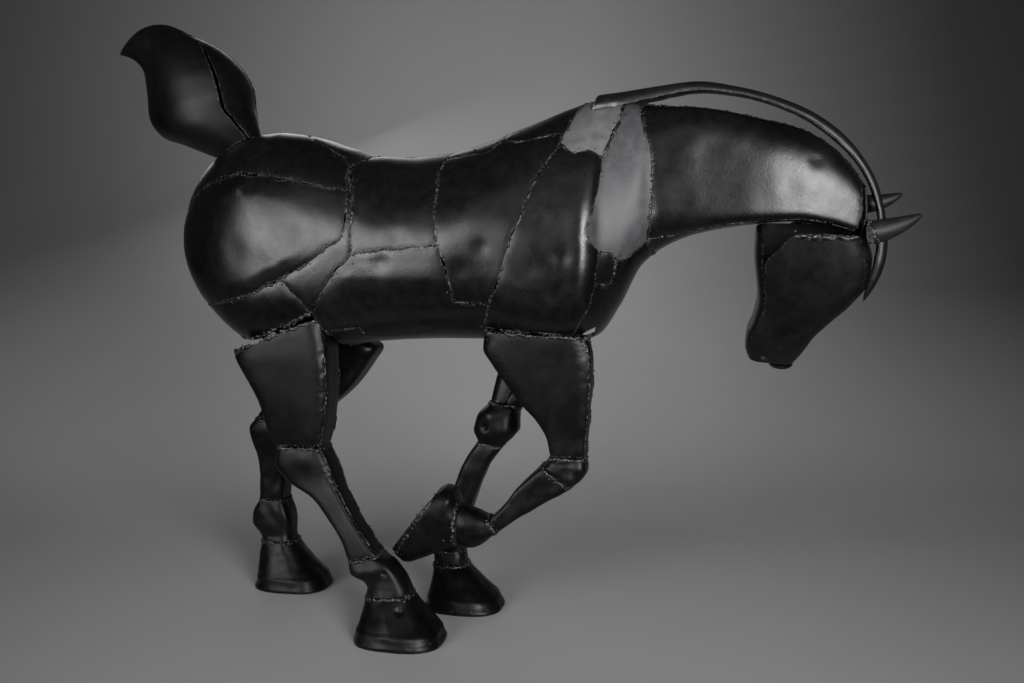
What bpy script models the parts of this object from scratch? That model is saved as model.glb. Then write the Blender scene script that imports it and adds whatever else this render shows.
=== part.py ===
"""Standing horse of welded sheet-steel plates.

The horse faces +X and its right side is the near side, toward -Y. Each plate, tube and hoof is one
closed solid. Plates of the trunk and neck are regions of one skin, cut along named seams. Limbs, head,
mane and tail are drawn as sections that run from a rear point to a front point.
"""
import math

import bpy
import bmesh
from mathutils import Vector
from mathutils.geometry import delaunay_2d_cdt

# ---------------------------------------------------------------- driving dimensions (metres)
SHEET = 0.003            # thickness of the steel sheet
EDGE_INSET = 0.0003      # how far each plate stops short of its seam
SEAM_STEP = 0.034        # spacing of the points along a seam
FACE_STEP = 0.052        # spacing of the points inside a plate
GIRTH_RADIUS = 0.16      # turns an angle round the trunk into a distance
NEAR = -1
FAR = 1

# Trunk and neck: heights and widths along x.
X_REAR = -0.638          # rearmost point of the rump
X_HIP = -0.430           # the rump closes behind this section
REAR_Z = 0.707
RUMP_LENGTH = X_HIP - X_REAR
RUMP_ROUNDNESS = {"crest": 2.1, "belly": 1.68, "width": 2.2}
CREST = ((-0.430, 0.912), (-0.368, 0.903), (-0.300, 0.880), (-0.244, 0.865), (-0.180, 0.863),
         (-0.120, 0.868), (-0.060, 0.883), (0.000, 0.904), (0.060, 0.926), (0.110, 0.944),
         (0.160, 0.957), (0.200, 0.956), (0.240, 0.948), (0.340, 0.939), (0.450, 0.916),
         (0.505, 0.900), (0.550, 0.875), (0.585, 0.842), (0.607, 0.812))
BELLY = ((-0.430, 0.497), (-0.368, 0.500), (-0.300, 0.512), (-0.240, 0.522), (-0.060, 0.530),
         (0.060, 0.530), (0.110, 0.526), (0.160, 0.538), (0.200, 0.592), (0.240, 0.668),
         (0.290, 0.705), (0.340, 0.723), (0.400, 0.735), (0.450, 0.741), (0.505, 0.744),
         (0.550, 0.738), (0.585, 0.728), (0.607, 0.722))
HALF_WIDTH = ((-0.430, 0.157), (-0.244, 0.156), (-0.060, 0.157), (0.000, 0.156), (0.060, 0.154),
              (0.110, 0.149), (0.145, 0.143), (0.160, 0.133), (0.172, 0.120), (0.200, 0.107),
              (0.240, 0.090), (0.255, 0.081), (0.270, 0.077), (0.340, 0.075), (0.450, 0.070),
              (0.505, 0.065), (0.555, 0.057), (0.607, 0.047))
WIDEST = ((-0.638, 0.702), (-0.430, 0.676), (-0.300, 0.676), (-0.240, 0.692), (-0.100, 0.697),
          (-0.040, 0.706), (0.000, 0.706), (0.060, 0.704), (0.110, 0.702), (0.160, 0.712),
          (0.200, 0.730), (0.240, 0.762), (0.290, 0.782), (0.400, 0.784), (0.505, 0.778),
          (0.607, 0.760))
UPPER_FULLNESS = ((-0.638, 2.1), (-0.535, 2.5), (-0.430, 2.8), (-0.330, 2.6), (-0.250, 2.3),
                  (-0.200, 2.0), (0.000, 1.9), (0.160, 1.75), (0.200, 1.8), (0.240, 2.2),
                  (0.290, 3.2), (0.340, 3.8), (0.450, 3.6), (0.607, 3.2))
LOWER_FULLNESS = ((-0.638, 2.0), (-0.535, 2.7), (-0.430, 3.0), (-0.368, 3.0), (-0.300, 2.9),
                  (-0.244, 2.8), (-0.100, 2.65), (-0.040, 2.5), (0.000, 2.9), (0.020, 3.3),
                  (0.060, 3.7), (0.100, 3.6), (0.140, 3.1), (0.170, 2.5), (0.200, 2.2),
                  (0.240, 2.3), (0.290, 3.2), (0.340, 4.5), (0.450, 7.0), (0.607, 8.0))

# Seams of the skin as (x, angle): 90 degrees is the crest, 0 the widest line, -90 the belly line.
SEAMS = {
    "rump crest": ((-0.6376, 90), (-0.400, 90)),
    "croup edge": ((-0.400, 90), (-0.361, 71), (-0.296, 60), (-0.275, 53)),
    "loin edge": ((-0.275, 53), (-0.258, 67), (-0.244, 90)),
    "rump middle": ((-0.6376, 45), (-0.577, 37), (-0.484, 37), (-0.394, 35), (-0.322, 35),
                    (-0.268, 36)),
    "rump front": ((-0.275, 53), (-0.272, 43), (-0.268, 36)),
    "rump curl": ((-0.268, 36), (-0.266, 27), (-0.272, 11), (-0.302, 6), (-0.330, -1),
                  (-0.388, -11)),
    "rump bottom": ((-0.388, -11), (-0.458, -21), (-0.502, -28), (-0.550, -41), (-0.586, -65),
                    (-0.598, -90)),
    "band front": ((-0.388, -11), (-0.360, -21), (-0.335, -31)),
    "thigh top": ((-0.335, -31), (-0.357, -33), (-0.378, -36), (-0.430, -43), (-0.498, -59),
                  (-0.520, -90)),
    "rump keel": ((-0.598, -90), (-0.520, -90)),
    "rump rear keel": ((-0.598, -90), (-0.6376, -90)),
    "rump rear low": ((-0.6376, -90), (-0.6376, 45)),
    "rump rear high": ((-0.6376, 45), (-0.6376, 90)),
    "barrel rear": ((-0.275, 53), (-0.262, 39), (-0.255, 31), (-0.256, 10), (-0.256, -2)),
    "flank crack": ((-0.256, -2), (-0.266, -5), (-0.284, -7), (-0.306, -17), (-0.335, -31)),
    "flank corner": ((-0.335, -31), (-0.318, -44)),
    "groin edge": ((-0.318, -44), (-0.300, -44), (-0.253, -47)),
    "groin front": ((-0.253, -47), (-0.250, -90)),
    "groin rear": ((-0.318, -44), (-0.306, -54), (-0.298, -90)),
    "barrel crest": ((-0.244, 90), (-0.104, 90)),
    "rib top": ((-0.104, 90), (-0.104, 68)),
    "rib rear": ((-0.104, 68), (-0.109, 52), (-0.106, 32), (-0.104, 13), (-0.097, 2)),
    "barrel middle": ((-0.256, -2), (-0.182, 0), (-0.097, 2)),
    "rib low": ((-0.097, 2), (-0.091, -5), (-0.080, -18), (-0.072, -32)),
    "rib bottom": ((-0.072, -32), (-0.045, -34), (-0.012, -34)),
    "elbow step": ((-0.012, -34), (-0.028, -52)),
    "barrel front": ((-0.028, -52), (-0.034, -90)),
    "barrel keel": ((-0.250, -90), (-0.034, -90)),
    "spine low rear": ((-0.104, 68), (-0.065, 63), (-0.031, 59), (-0.012, 64), (-0.002, 70)),
    "spine low front": ((-0.002, 70), (0.008, 64), (0.031, 59), (0.084, 57), (0.108, 55)),
    "spine step": ((-0.002, 70), (0.002, 90)),
    "spine crest rear": ((-0.104, 90), (0.002, 90)),
    "spine crest front": ((0.002, 90), (0.140, 90)),
    "shoulder rear": ((-0.012, -34), (0.011, -17), (0.029, 2), (0.045, 11), (0.053, 18),
                      (0.064, 27), (0.082, 38), (0.104, 49)),
    "withers notch": ((0.104, 49), (0.108, 55)),
    "withers rear": ((0.108, 55), (0.118, 65), (0.128, 76), (0.140, 90)),
    "withers low": ((0.104, 49), (0.130, 41), (0.159, 39), (0.175, 35)),
    "withers front": ((0.175, 35), (0.180, 39), (0.191, 48), (0.202, 60), (0.207, 90)),
    "withers crest": ((0.140, 90), (0.207, 90)),
    "shoulder front": ((0.175, 35), (0.171, 23), (0.160, 9), (0.156, 1), (0.172, -8)),
    "patch rear": ((0.172, -8), (0.169, -16), (0.165, -25)),
    "shoulder low": ((0.165, -25), (0.159, -34)),
    "shoulder tip": ((0.159, -34), (0.143, -43), (0.128, -51)),
    "shoulder bottom": ((0.128, -51), (0.105, -49), (0.053, -49), (0.015, -50), (-0.028, -52)),
    "patch top": ((0.172, -8), (0.192, -14), (0.203, -23)),
    "patch front": ((0.203, -23), (0.200, -31), (0.192, -37)),
    "patch bottom": ((0.192, -37), (0.178, -30), (0.165, -25)),
    "neck base low": ((0.203, -23), (0.220, -34), (0.239, -41), (0.253, -38)),
    "neck root": ((0.253, -38), (0.257, -11), (0.260, 8), (0.261, 21), (0.255, 33), (0.246, 44),
                  (0.238, 66), (0.236, 90)),
    "neck base crest": ((0.207, 90), (0.236, 90)),
    "neck crest": ((0.236, 90), (0.607, 90)),
    "neck low": ((0.253, -38), (0.293, -48), (0.332, -48), (0.375, -48), (0.437, -48),
                 (0.598, -49)),
    "neck end": ((0.607, 90), (0.607, 26), (0.606, -10), (0.598, -49)),
    "throat root": ((0.253, -38), (0.258, -59), (0.262, -90)),
    "throat end": ((0.598, -49), (0.598, -90)),
    "chest side": ((0.159, -34), (0.143, -43), (0.134, -51), (0.141, -56), (0.160, -57),
                   (0.166, -61), (0.140, -70), (-0.030, -70)),
    "chest rear": ((-0.030, -70), (-0.030, -90)),
}

# Plates of the skin: seams in order round the plate, a minus sign runs a seam backward. Side plates
# come in a near and a far copy. Wrapped plates give their near half and cross the middle plane.
NEAR_PLATES = {
    "near_rump_upper_plate": ("rump crest", "croup edge", "rump front", "-rump middle"),
    "near_rump_side_plate": ("rump middle", "rump curl", "rump bottom", "rump rear keel",
                             "rump rear low"),
    "near_flank_strip": ("barrel rear", "flank crack", "-band front", "-rump curl", "-rump front"),
    "near_rib_plate": ("rib rear", "rib low", "rib bottom", "shoulder rear", "withers notch",
                       "-spine low front", "-spine low rear"),
    "near_shoulder_plate": ("shoulder rear", "withers low", "shoulder front", "patch rear",
                            "shoulder low", "shoulder tip", "shoulder bottom", "-elbow step"),
    "near_withers_patch": ("withers notch", "withers rear", "withers crest", "-withers front",
                           "-withers low"),
    "near_neck_base_plate": ("withers front", "neck base crest", "-neck root", "-neck base low",
                             "-patch top", "-shoulder front"),
    "near_chest_patch": ("patch top", "patch front", "patch bottom", "-patch rear"),
}
FAR_PLATES = {
    "far_rump_plate": ("rump crest", "croup edge", "rump front", "rump curl", "rump bottom",
                       "rump rear keel", "rump rear low", "rump rear high"),
    "far_flank_strip": ("barrel rear", "flank crack", "-band front", "-rump curl", "-rump front"),
    "far_rib_plate": ("rib rear", "rib low", "rib bottom", "shoulder rear", "withers notch",
                      "-spine low front", "-spine low rear"),
    "far_shoulder_plate": ("shoulder rear", "withers notch", "withers rear", "withers crest",
                           "-withers front", "shoulder front", "patch rear", "shoulder low",
                           "shoulder tip", "shoulder bottom", "-elbow step"),
    "far_neck_base_plate": ("withers front", "neck base crest", "-neck root", "-neck base low",
                            "patch front", "patch bottom", "-patch rear", "-shoulder front"),
}
PAIRED_PLATES = {
    "thigh_band": ("rump bottom", "rump keel", "-thigh top", "-band front"),
    "barrel_upper_plate": ("loin edge", "barrel crest", "rib top", "rib rear", "-barrel middle",
                           "-barrel rear"),
    "barrel_lower_plate": ("flank crack", "flank corner", "groin edge", "groin front",
                           "barrel keel", "-barrel front", "-elbow step", "-rib bottom", "-rib low",
                           "-barrel middle"),
    "neck_side_plate": ("neck crest", "neck end", "-neck low", "neck root"),
}
WRAPPED_PLATES = {
    "croup_patch": ("croup edge", "loin edge"),
    "spine_strip_rear": ("rib top", "spine low rear", "spine step"),
    "spine_strip_front": ("-spine step", "spine low front", "withers rear"),
    "groin_plate": ("-groin rear", "groin edge", "groin front"),
    "chest_plate": ("-chest rear", "-chest side", "-shoulder low", "-patch bottom", "-patch front",
                    "neck base low", "throat root"),
    "throat_strip": ("-throat root", "neck low", "throat end"),
}

# Limb sections: rear x, rear z, front x, front z, middle y, half width, fullness of the section.
NEAR_THIGH = (
    (-0.499, 0.504, -0.320, 0.574, -0.100, 0.0445, 4.0),
    (-0.491, 0.490, -0.314, 0.512, -0.101, 0.044, 6.0),
    (-0.477, 0.468, -0.313, 0.474, -0.1010, 0.0425, 8.0),
    (-0.449, 0.416, -0.315, 0.420, -0.1000, 0.0405, 8.0),
    (-0.434, 0.363, -0.322, 0.368, -0.0995, 0.0375, 8.0),
    (-0.421, 0.335, -0.330, 0.336, -0.0990, 0.0345, 7.0),
)
NEAR_SHANK = (
    (-0.416, 0.331, -0.330, 0.332, -0.100, 0.0345, 7.0),
    (-0.421, 0.303, -0.319, 0.313, -0.102, 0.035, 6.0),
    (-0.400, 0.272, -0.306, 0.285, -0.105, 0.033, 6.0),
    (-0.346, 0.242, -0.290, 0.254, -0.114, 0.029, 7.0),
    (-0.310, 0.204, -0.266, 0.216, -0.123, 0.0275, 7.0),
    (-0.282, 0.167, -0.238, 0.179, -0.132, 0.027, 7.0),
    (-0.269, 0.136, -0.213, 0.150, -0.138, 0.027, 7.0),
)
NEAR_HIND_FETLOCK = (
    (-0.268, 0.134, -0.211, 0.148, -0.140, 0.028, 5.0),
    (-0.264, 0.113, -0.186, 0.132, -0.142, 0.032, 4.0),
    (-0.240, 0.100, -0.168, 0.112, -0.144, 0.030, 3.2),
    (-0.234, 0.088, -0.156, 0.095, -0.146, 0.031, 2.8),
    (-0.236, 0.077, -0.152, 0.084, -0.147, 0.034, 2.8),
)
NEAR_HIND_HOOF = (
    (-0.236, 0.075, -0.151, 0.082, -0.147, 0.036, 2.8),
    (-0.242, 0.048, -0.128, 0.054, -0.151, 0.048, 2.8),
    (-0.249, 0.016, -0.095, 0.018, -0.159, 0.062, 2.8),
    (-0.250, 0.000, -0.090, 0.000, -0.161, 0.065, 2.8),
)
FAR_THIGH = (
    (-0.507, 0.517, -0.322, 0.566, 0.096, 0.045, 4.0),
    (-0.506, 0.506, -0.318, 0.520, 0.098, 0.045, 4.0),
    (-0.505, 0.488, -0.292, 0.495, 0.098, 0.044, 5.0),
    (-0.503, 0.464, -0.308, 0.468, 0.097, 0.042, 6.0),
    (-0.512, 0.420, -0.345, 0.416, 0.091, 0.040, 6.0),
    (-0.530, 0.378, -0.390, 0.376, 0.086, 0.036, 6.0),
    (-0.546, 0.352, -0.452, 0.339, 0.080, 0.034, 5.0),
)
FAR_SHANK = (
    (-0.548, 0.348, -0.455, 0.336, 0.080, 0.034, 5.0),
    (-0.563, 0.326, -0.475, 0.316, 0.079, 0.035, 4.5),
    (-0.558, 0.301, -0.483, 0.298, 0.078, 0.032, 5.0),
    (-0.547, 0.270, -0.489, 0.270, 0.077, 0.028, 6.0),
    (-0.542, 0.231, -0.490, 0.231, 0.076, 0.026, 6.0),
    (-0.545, 0.180, -0.491, 0.180, 0.075, 0.027, 6.0),
)
FAR_HIND_FETLOCK = (
    (-0.545, 0.178, -0.490, 0.178, 0.075, 0.028, 5.0),
    (-0.560, 0.147, -0.478, 0.149, 0.074, 0.032, 4.0),
    (-0.562, 0.130, -0.474, 0.130, 0.073, 0.033, 3.2),
    (-0.547, 0.108, -0.474, 0.108, 0.072, 0.032, 2.8),
    (-0.540, 0.096, -0.472, 0.096, 0.071, 0.034, 2.8),
)
FAR_HIND_HOOF = (
    (-0.541, 0.094, -0.470, 0.094, 0.070, 0.036, 2.8),
    (-0.545, 0.055, -0.442, 0.055, 0.068, 0.046, 2.8),
    (-0.548, 0.016, -0.405, 0.016, 0.066, 0.059, 2.8),
    (-0.552, 0.000, -0.400, 0.000, 0.065, 0.061, 2.8),
)
NEAR_ARM = (
    (-0.027, 0.551, 0.156, 0.543, -0.094, 0.030, 4.5),
    (-0.029, 0.522, 0.161, 0.520, -0.0925, 0.0300, 6.0),
    (-0.013, 0.495, 0.163, 0.495, -0.0905, 0.0305, 8.0),
    (0.009, 0.464, 0.163, 0.458, -0.0885, 0.0300, 8.0),
    (0.037, 0.425, 0.159, 0.420, -0.086, 0.029, 8.0),
    (0.066, 0.393, 0.157, 0.390, -0.084, 0.028, 8.0),
    (0.084, 0.360, 0.154, 0.362, -0.083, 0.0265, 7.0),
    (0.089, 0.332, 0.153, 0.332, -0.083, 0.026, 6.0),
)
NEAR_KNEE = (
    (0.090, 0.330, 0.153, 0.330, -0.084, 0.0275, 4.4),
    (0.084, 0.323, 0.156, 0.308, -0.085, 0.0325, 3.8),
    (0.079, 0.318, 0.146, 0.288, -0.087, 0.032, 3.8),
    (0.077, 0.316, 0.130, 0.276, -0.089, 0.029, 4.0),
)
NEAR_FORE_CANNON = (
    (0.075, 0.315, 0.127, 0.275, -0.090, 0.028, 5.0),
    (0.052, 0.294, 0.090, 0.253, -0.093, 0.0265, 6.0),
    (0.029, 0.272, 0.058, 0.233, -0.097, 0.025, 6.0),
    (0.004, 0.237, 0.028, 0.214, -0.101, 0.024, 6.0),
    (-0.015, 0.220, 0.001, 0.194, -0.103, 0.024, 5.0),
)
NEAR_FORE_FETLOCK = (
    (-0.017, 0.219, -0.003, 0.190, -0.104, 0.025, 3.0),
    (-0.036, 0.227, -0.032, 0.168, -0.103, 0.032, 2.6),
    (-0.055, 0.233, -0.053, 0.160, -0.103, 0.034, 2.5),
    (-0.072, 0.240, -0.077, 0.165, -0.102, 0.033, 2.4),
)
NEAR_FORE_HOOF = (
    (-0.074, 0.242, -0.079, 0.164, -0.102, 0.035, 2.8),
    (-0.084, 0.266, -0.123, 0.143, -0.101, 0.045, 2.8),
    (-0.100, 0.270, -0.174, 0.127, -0.099, 0.053, 2.8),
    (-0.112, 0.262, -0.199, 0.148, -0.098, 0.054, 2.8),
)
FAR_ARM = (
    (-0.022, 0.549, 0.122, 0.543, 0.0945, 0.0295, 4.0),
    (-0.026, 0.505, 0.090, 0.502, 0.0945, 0.0295, 4.0),
    (-0.040, 0.462, 0.060, 0.455, 0.080, 0.032, 4.0),
    (-0.054, 0.402, 0.012, 0.396, 0.069, 0.029, 4.0),
)
FAR_KNEE = (
    (-0.056, 0.399, 0.010, 0.393, 0.068, 0.030, 4.0),
    (-0.079, 0.373, 0.001, 0.378, 0.066, 0.036, 3.0),
    (-0.087, 0.345, 0.000, 0.348, 0.064, 0.036, 3.0),
    (-0.078, 0.322, -0.028, 0.313, 0.062, 0.029, 3.6),
)
FAR_CANNON = (
    (-0.079, 0.320, -0.030, 0.311, 0.062, 0.027, 5.0),
    (-0.102, 0.283, -0.058, 0.274, 0.060, 0.026, 6.0),
    (-0.124, 0.232, -0.079, 0.223, 0.057, 0.025, 6.0),
    (-0.155, 0.140, -0.105, 0.135, 0.052, 0.026, 6.0),
    (-0.162, 0.105, -0.107, 0.105, 0.050, 0.027, 5.0),
)
FAR_PASTERN = (
    (-0.164, 0.103, -0.105, 0.103, 0.050, 0.029, 3.0),
    (-0.165, 0.078, -0.100, 0.081, 0.047, 0.031, 2.6),
)
FAR_FORE_HOOF = (
    (-0.166, 0.076, -0.099, 0.079, 0.046, 0.034, 2.8),
    (-0.168, 0.045, -0.066, 0.050, 0.036, 0.046, 2.8),
    (-0.172, 0.015, -0.030, 0.016, 0.027, 0.060, 2.8),
    (-0.172, 0.000, -0.024, 0.000, 0.025, 0.063, 2.8),
)

LIMB_CORNER = math.radians(38)      # where the channel of a limb meets its front strip
INNER_SLIT = math.radians(2)        # half the slit left where a wrapped limb sheet closes on itself

# Head, hung from the poll and rolled so that its near side is lower.
HEAD_ROLL = math.radians(12)
HEAD_PIVOT_Z = 0.730
HEAD = (
    (0.601, 0.808, 0.614, 0.808, 0.050, 5.0),
    (0.601, 0.765, 0.616, 0.765, 0.055, 5.0),
    (0.436, 0.7305, 0.617, 0.724, 0.060, 5.0),
    (0.434, 0.690, 0.629, 0.686, 0.0605, 5.0),
    (0.438, 0.650, 0.627, 0.650, 0.0595, 5.0),
    (0.442, 0.612, 0.602, 0.610, 0.0565, 5.0),
    (0.436, 0.578, 0.568, 0.576, 0.0515, 5.0),
    (0.425, 0.548, 0.541, 0.546, 0.046, 4.5),
    (0.423, 0.525, 0.524, 0.518, 0.042, 4.0),
    (0.429, 0.503, 0.509, 0.497, 0.038, 3.5),
)
HEAD_TOP_STATION = 2
MUZZLE = (
    (0.462, 0.496, 0.508, 0.491, 0.037, 3.0),
    (0.465, 0.491, 0.502, 0.487, 0.034, 2.6),
    (0.474, 0.486, 0.494, 0.485, 0.024, 2.2),
)
# Ears: part of a cone from a base point to the tip.
EARS = {
    "near_ear": {"base": (0.620, -0.054, 0.724), "tip": (0.703, -0.050, 0.755), "radius": 0.021,
                 "turn": math.radians(25)},
    "far_ear": {"base": (0.622, 0.050, 0.773), "tip": (0.687, 0.050, 0.793), "radius": 0.018,
                "turn": math.radians(40)},
}
EAR_SHEET = 0.0022
EAR_BOW = 0.0045         # how far the middle of an ear sags below the line from base to tip
EAR_SWEEP = math.radians(105)

# Mane strip: crest x, z, lower edge x, z and half width.
MANE = (
    (0.160, 0.967, 0.153, 0.936, 0.051),
    (0.205, 0.972, 0.200, 0.9445, 0.034),
    (0.258, 0.979, 0.258, 0.957, 0.030),
    (0.330, 0.986, 0.334, 0.968, 0.026),
    (0.403, 0.974, 0.400, 0.960, 0.022),
    (0.504, 0.940, 0.494, 0.928, 0.019),
    (0.571, 0.896, 0.558, 0.885, 0.017),
    (0.613, 0.847, 0.602, 0.839, 0.015),
    (0.637, 0.801, 0.626, 0.794, 0.014),
    (0.651, 0.745, 0.638, 0.744, 0.014),
    (0.655, 0.705, 0.638, 0.704, 0.014),
    (0.653, 0.680, 0.635, 0.676, 0.014),
    (0.646, 0.653, 0.628, 0.646, 0.012),
    (0.634, 0.627, 0.621, 0.622, 0.008),
    (0.620, 0.606, 0.618, 0.607, 0.003),
)

# Tail pod: rear x, z; seam x, z and depth; crest x, z and depth; upward bow of the side leaves.
TAIL = (
    (-0.572, 0.868, -0.505, 0.904, 0.030, -0.508, 0.905, 0.030, 0.000),
    (-0.650, 0.892, -0.528, 0.934, 0.045, -0.520, 0.938, 0.046, -0.004),
    (-0.702, 0.912, -0.545, 0.957, 0.052, -0.527, 0.965, 0.054, -0.006),
    (-0.728, 0.950, -0.550, 0.985, 0.055, -0.531, 0.998, 0.056, -0.003),
    (-0.731, 0.992, -0.558, 1.015, 0.054, -0.542, 1.027, 0.054, 0.000),
    (-0.738, 1.038, -0.572, 1.045, 0.048, -0.566, 1.058, 0.048, 0.007),
    (-0.764, 1.063, -0.592, 1.078, 0.036, -0.597, 1.082, 0.036, 0.018),
    (-0.788, 1.071, -0.622, 1.098, 0.020, -0.640, 1.104, 0.020, 0.036),
)
TAIL_GAP = 0.0015        # between the foot of the tail and the crest of the rump
LEAF_SPREAD = 0.0035     # half the distance between the rear edges of the two side leaves
LEAF_EDGES = {"near": (0.0, 1.0), "far": (0.0, 1.0), "crest": (0.045, 0.955)}
CREST_LEAF_BULGE = 0.013


# ---------------------------------------------------------------- curves
def smooth(knots, x):
    """Smooth curve through (x, value) knots that never swings past them."""
    if x <= knots[0][0]:
        return knots[0][1]
    if x >= knots[-1][0]:
        return knots[-1][1]
    slopes = [(b[1] - a[1]) / (b[0] - a[0]) for a, b in zip(knots, knots[1:])]
    i = 0
    while x > knots[i + 1][0]:
        i += 1

    def tangent(k):
        before = slopes[max(k - 1, 0)]
        after = slopes[min(k, len(slopes) - 1)]
        if before * after <= 0:
            return 0.0
        return 2 * before * after / (before + after)

    h = knots[i + 1][0] - knots[i][0]
    t = (x - knots[i][0]) / h
    start, end = knots[i][1], knots[i + 1][1]
    rise, fall = tangent(i) * h, tangent(i + 1) * h
    return ((2 * t ** 3 - 3 * t * t + 1) * start + (t ** 3 - 2 * t * t + t) * rise
            + (3 * t * t - 2 * t ** 3) * end + (t ** 3 - t * t) * fall)


def squircle(angle, fullness):
    """Point at this polar angle on a rounded square: fullness 2 is a circle, 4 and up a soft box."""
    c = math.cos(angle)
    s = math.sin(angle)
    k = (abs(c) ** fullness + abs(s) ** fullness) ** (-1 / fullness)
    return c * k, s * k


def trace(controls, step):
    """Evenly spaced points on a smooth curve through 2-D control points."""
    points = []
    for i in range(len(controls) - 1):
        a = controls[max(i - 1, 0)]
        b, c = controls[i], controls[i + 1]
        d = controls[min(i + 2, len(controls) - 1)]
        count = max(1, math.ceil(math.dist(b, c) / step))
        for k in range(count):
            t = k / count
            points.append(tuple(0.5 * (2 * b[j] + (c[j] - a[j]) * t
                                       + (2 * a[j] - 5 * b[j] + 4 * c[j] - d[j]) * t * t
                                       + (3 * b[j] - a[j] - 3 * c[j] + d[j]) * t ** 3)
                                for j in range(2)))
    points.append(tuple(controls[-1]))
    return points


# ---------------------------------------------------------------- trunk and neck skin
def closing(q, roundness):
    return max(1 - q ** roundness, 0.0) ** (1 / roundness)


def section(x):
    """Crest, belly, half width, height of the widest line and the two fullnesses at x."""
    q = min(max((X_HIP - x) / RUMP_LENGTH, 0.0), 1.0)
    top = smooth(CREST, x)
    bottom = smooth(BELLY, x)
    width = smooth(HALF_WIDTH, x)
    middle = smooth(WIDEST, x)
    if q > 0:
        top = REAR_Z + (CREST[0][1] - REAR_Z) * closing(q, RUMP_ROUNDNESS["crest"])
        bottom = REAR_Z - (REAR_Z - BELLY[0][1]) * closing(q, RUMP_ROUNDNESS["belly"])
        width = HALF_WIDTH[0][1] * closing(q, RUMP_ROUNDNESS["width"])
        middle = min(max(middle, bottom), top)
    return top, bottom, width, middle, smooth(UPPER_FULLNESS, x), smooth(LOWER_FULLNESS, x)


def along(x):
    """Distance along the horse of a section, measured round the rump."""
    if x < X_HIP:
        return RUMP_LENGTH * math.acos((X_HIP - x) / RUMP_LENGTH)
    return RUMP_LENGTH * math.pi / 2 + x - X_HIP


def section_x(distance):
    if distance < RUMP_LENGTH * math.pi / 2:
        return X_HIP - RUMP_LENGTH * math.cos(max(distance, 0.0) / RUMP_LENGTH)
    return X_HIP + distance - RUMP_LENGTH * math.pi / 2


def skin(side):
    """Skin of the trunk and neck as a function of distance along it and distance round it."""
    def surface(s, t):
        x = section_x(s)
        top, bottom, width, middle, upper, lower = section(x)
        angle = t / GIRTH_RADIUS
        c, v = squircle(angle, upper if math.sin(angle) >= 0 else lower)
        height = top - middle if v >= 0 else middle - bottom
        return Vector((x, side * width * c, middle + height * v))
    return surface


def crest_height(x, y):
    """Height of the top of the trunk above a point of the plan."""
    top, bottom, width, middle, upper, lower = section(max(x, X_REAR + SHEET))
    share = min(abs(y) / width, 1.0)
    return middle + (top - middle) * (1 - share ** upper) ** (1 / upper)


def seam_points(name, mirrored=False):
    """Points of one seam in the plane of the skin. A mirrored seam lies past the crest or the belly."""
    backward = name.startswith("-")
    controls = SEAMS[name.lstrip("-")]
    flat = [(along(x), math.radians(a) * GIRTH_RADIUS) for x, a in controls]
    points = trace(flat, SEAM_STEP)
    if backward:
        points.reverse()
    if mirrored:
        turn = math.pi if sum(p[1] for p in points) > 0 else -math.pi
        points = [(s, turn * GIRTH_RADIUS - t) for s, t in points]
    return points


def chain(runs):
    """One closed outline from runs of points that follow each other, nearest end first."""
    outline = list(runs[0])
    for run in runs[1:]:
        if math.dist(outline[-1], run[0]) > math.dist(outline[-1], run[-1]):
            run = run[::-1]
        outline.extend(run[1:])
    if math.dist(outline[0], outline[-1]) < EDGE_INSET:
        outline.pop()
    return outline


# ---------------------------------------------------------------- limbs, head, mane and tail surfaces
def column(stations, index):
    """One column of a station table against the distance down the limb."""
    distance = 0.0
    knots = []
    for i, station in enumerate(stations):
        if i:
            before = stations[i - 1]
            distance += math.hypot((station[0] + station[2] - before[0] - before[2]) / 2,
                                   (station[1] + station[3] - before[1] - before[3]) / 2)
        knots.append((distance, station[index]))
    return knots


def limb_length(stations):
    return column(stations, 0)[-1][0]


def limb(stations, side):
    """Surface of a limb: v runs down it, t round it from the front over the outer side, in radians."""
    columns = [column(stations, k) for k in range(7)]

    def surface(v, t):
        rear_x, rear_z, front_x, front_z, middle_y, half, fullness = (smooth(c, v) for c in columns)
        c, s = squircle(t, fullness)
        return Vector(((rear_x + front_x) / 2 + c * (front_x - rear_x) / 2,
                       middle_y + side * half * s,
                       (rear_z + front_z) / 2 + c * (front_z - rear_z) / 2))
    return surface


def head_surface(stations):
    """Surface of the head: t runs from the front over the near side."""
    columns = [column(stations, k) for k in range(6)]

    def surface(v, t):
        rear_x, rear_z, front_x, front_z, half, fullness = (smooth(c, v) for c in columns)
        c, s = squircle(t, fullness)
        z = (rear_z + front_z) / 2
        lean = (HEAD_PIVOT_Z - z) * math.tan(HEAD_ROLL)
        return Vector(((rear_x + front_x) / 2 + c * (front_x - rear_x) / 2,
                       max(lean, 0.0) - half * s * math.cos(HEAD_ROLL),
                       z + c * (front_z - rear_z) / 2 - half * s * math.sin(HEAD_ROLL)))
    return surface


def mane_surface():
    """Inverted trough: v runs from the withers to the forehead, t from the near to the far edge."""
    columns = [column(MANE, k) for k in range(5)]

    def surface(v, t):
        top_x, top_z, low_x, low_z, half = (smooth(c, v) for c in columns)
        s, c = squircle(math.pi / 2 - t, 2.4)
        return Vector((low_x + (top_x - low_x) * c, half * s, low_z + (top_z - low_z) * c))
    return surface


def ear_surface(base, tip, radius, turn):
    """Part of a cone from a base circle to the tip, swept round the axis by the angle t."""
    start = Vector(base)
    axis = Vector(tip) - start
    side = Vector((0, -1, 0))
    up = side.cross(axis).normalized()

    def surface(v, t):
        r = radius * (1 - v) ** 0.6 * (1 + 0.35 * v * (1 - v))
        sag = EAR_BOW * 4 * v * (1 - v)
        angle = t + turn
        return start + axis * v - up * sag + (side * math.cos(angle) + up * math.sin(angle)) * r
    return surface


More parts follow.
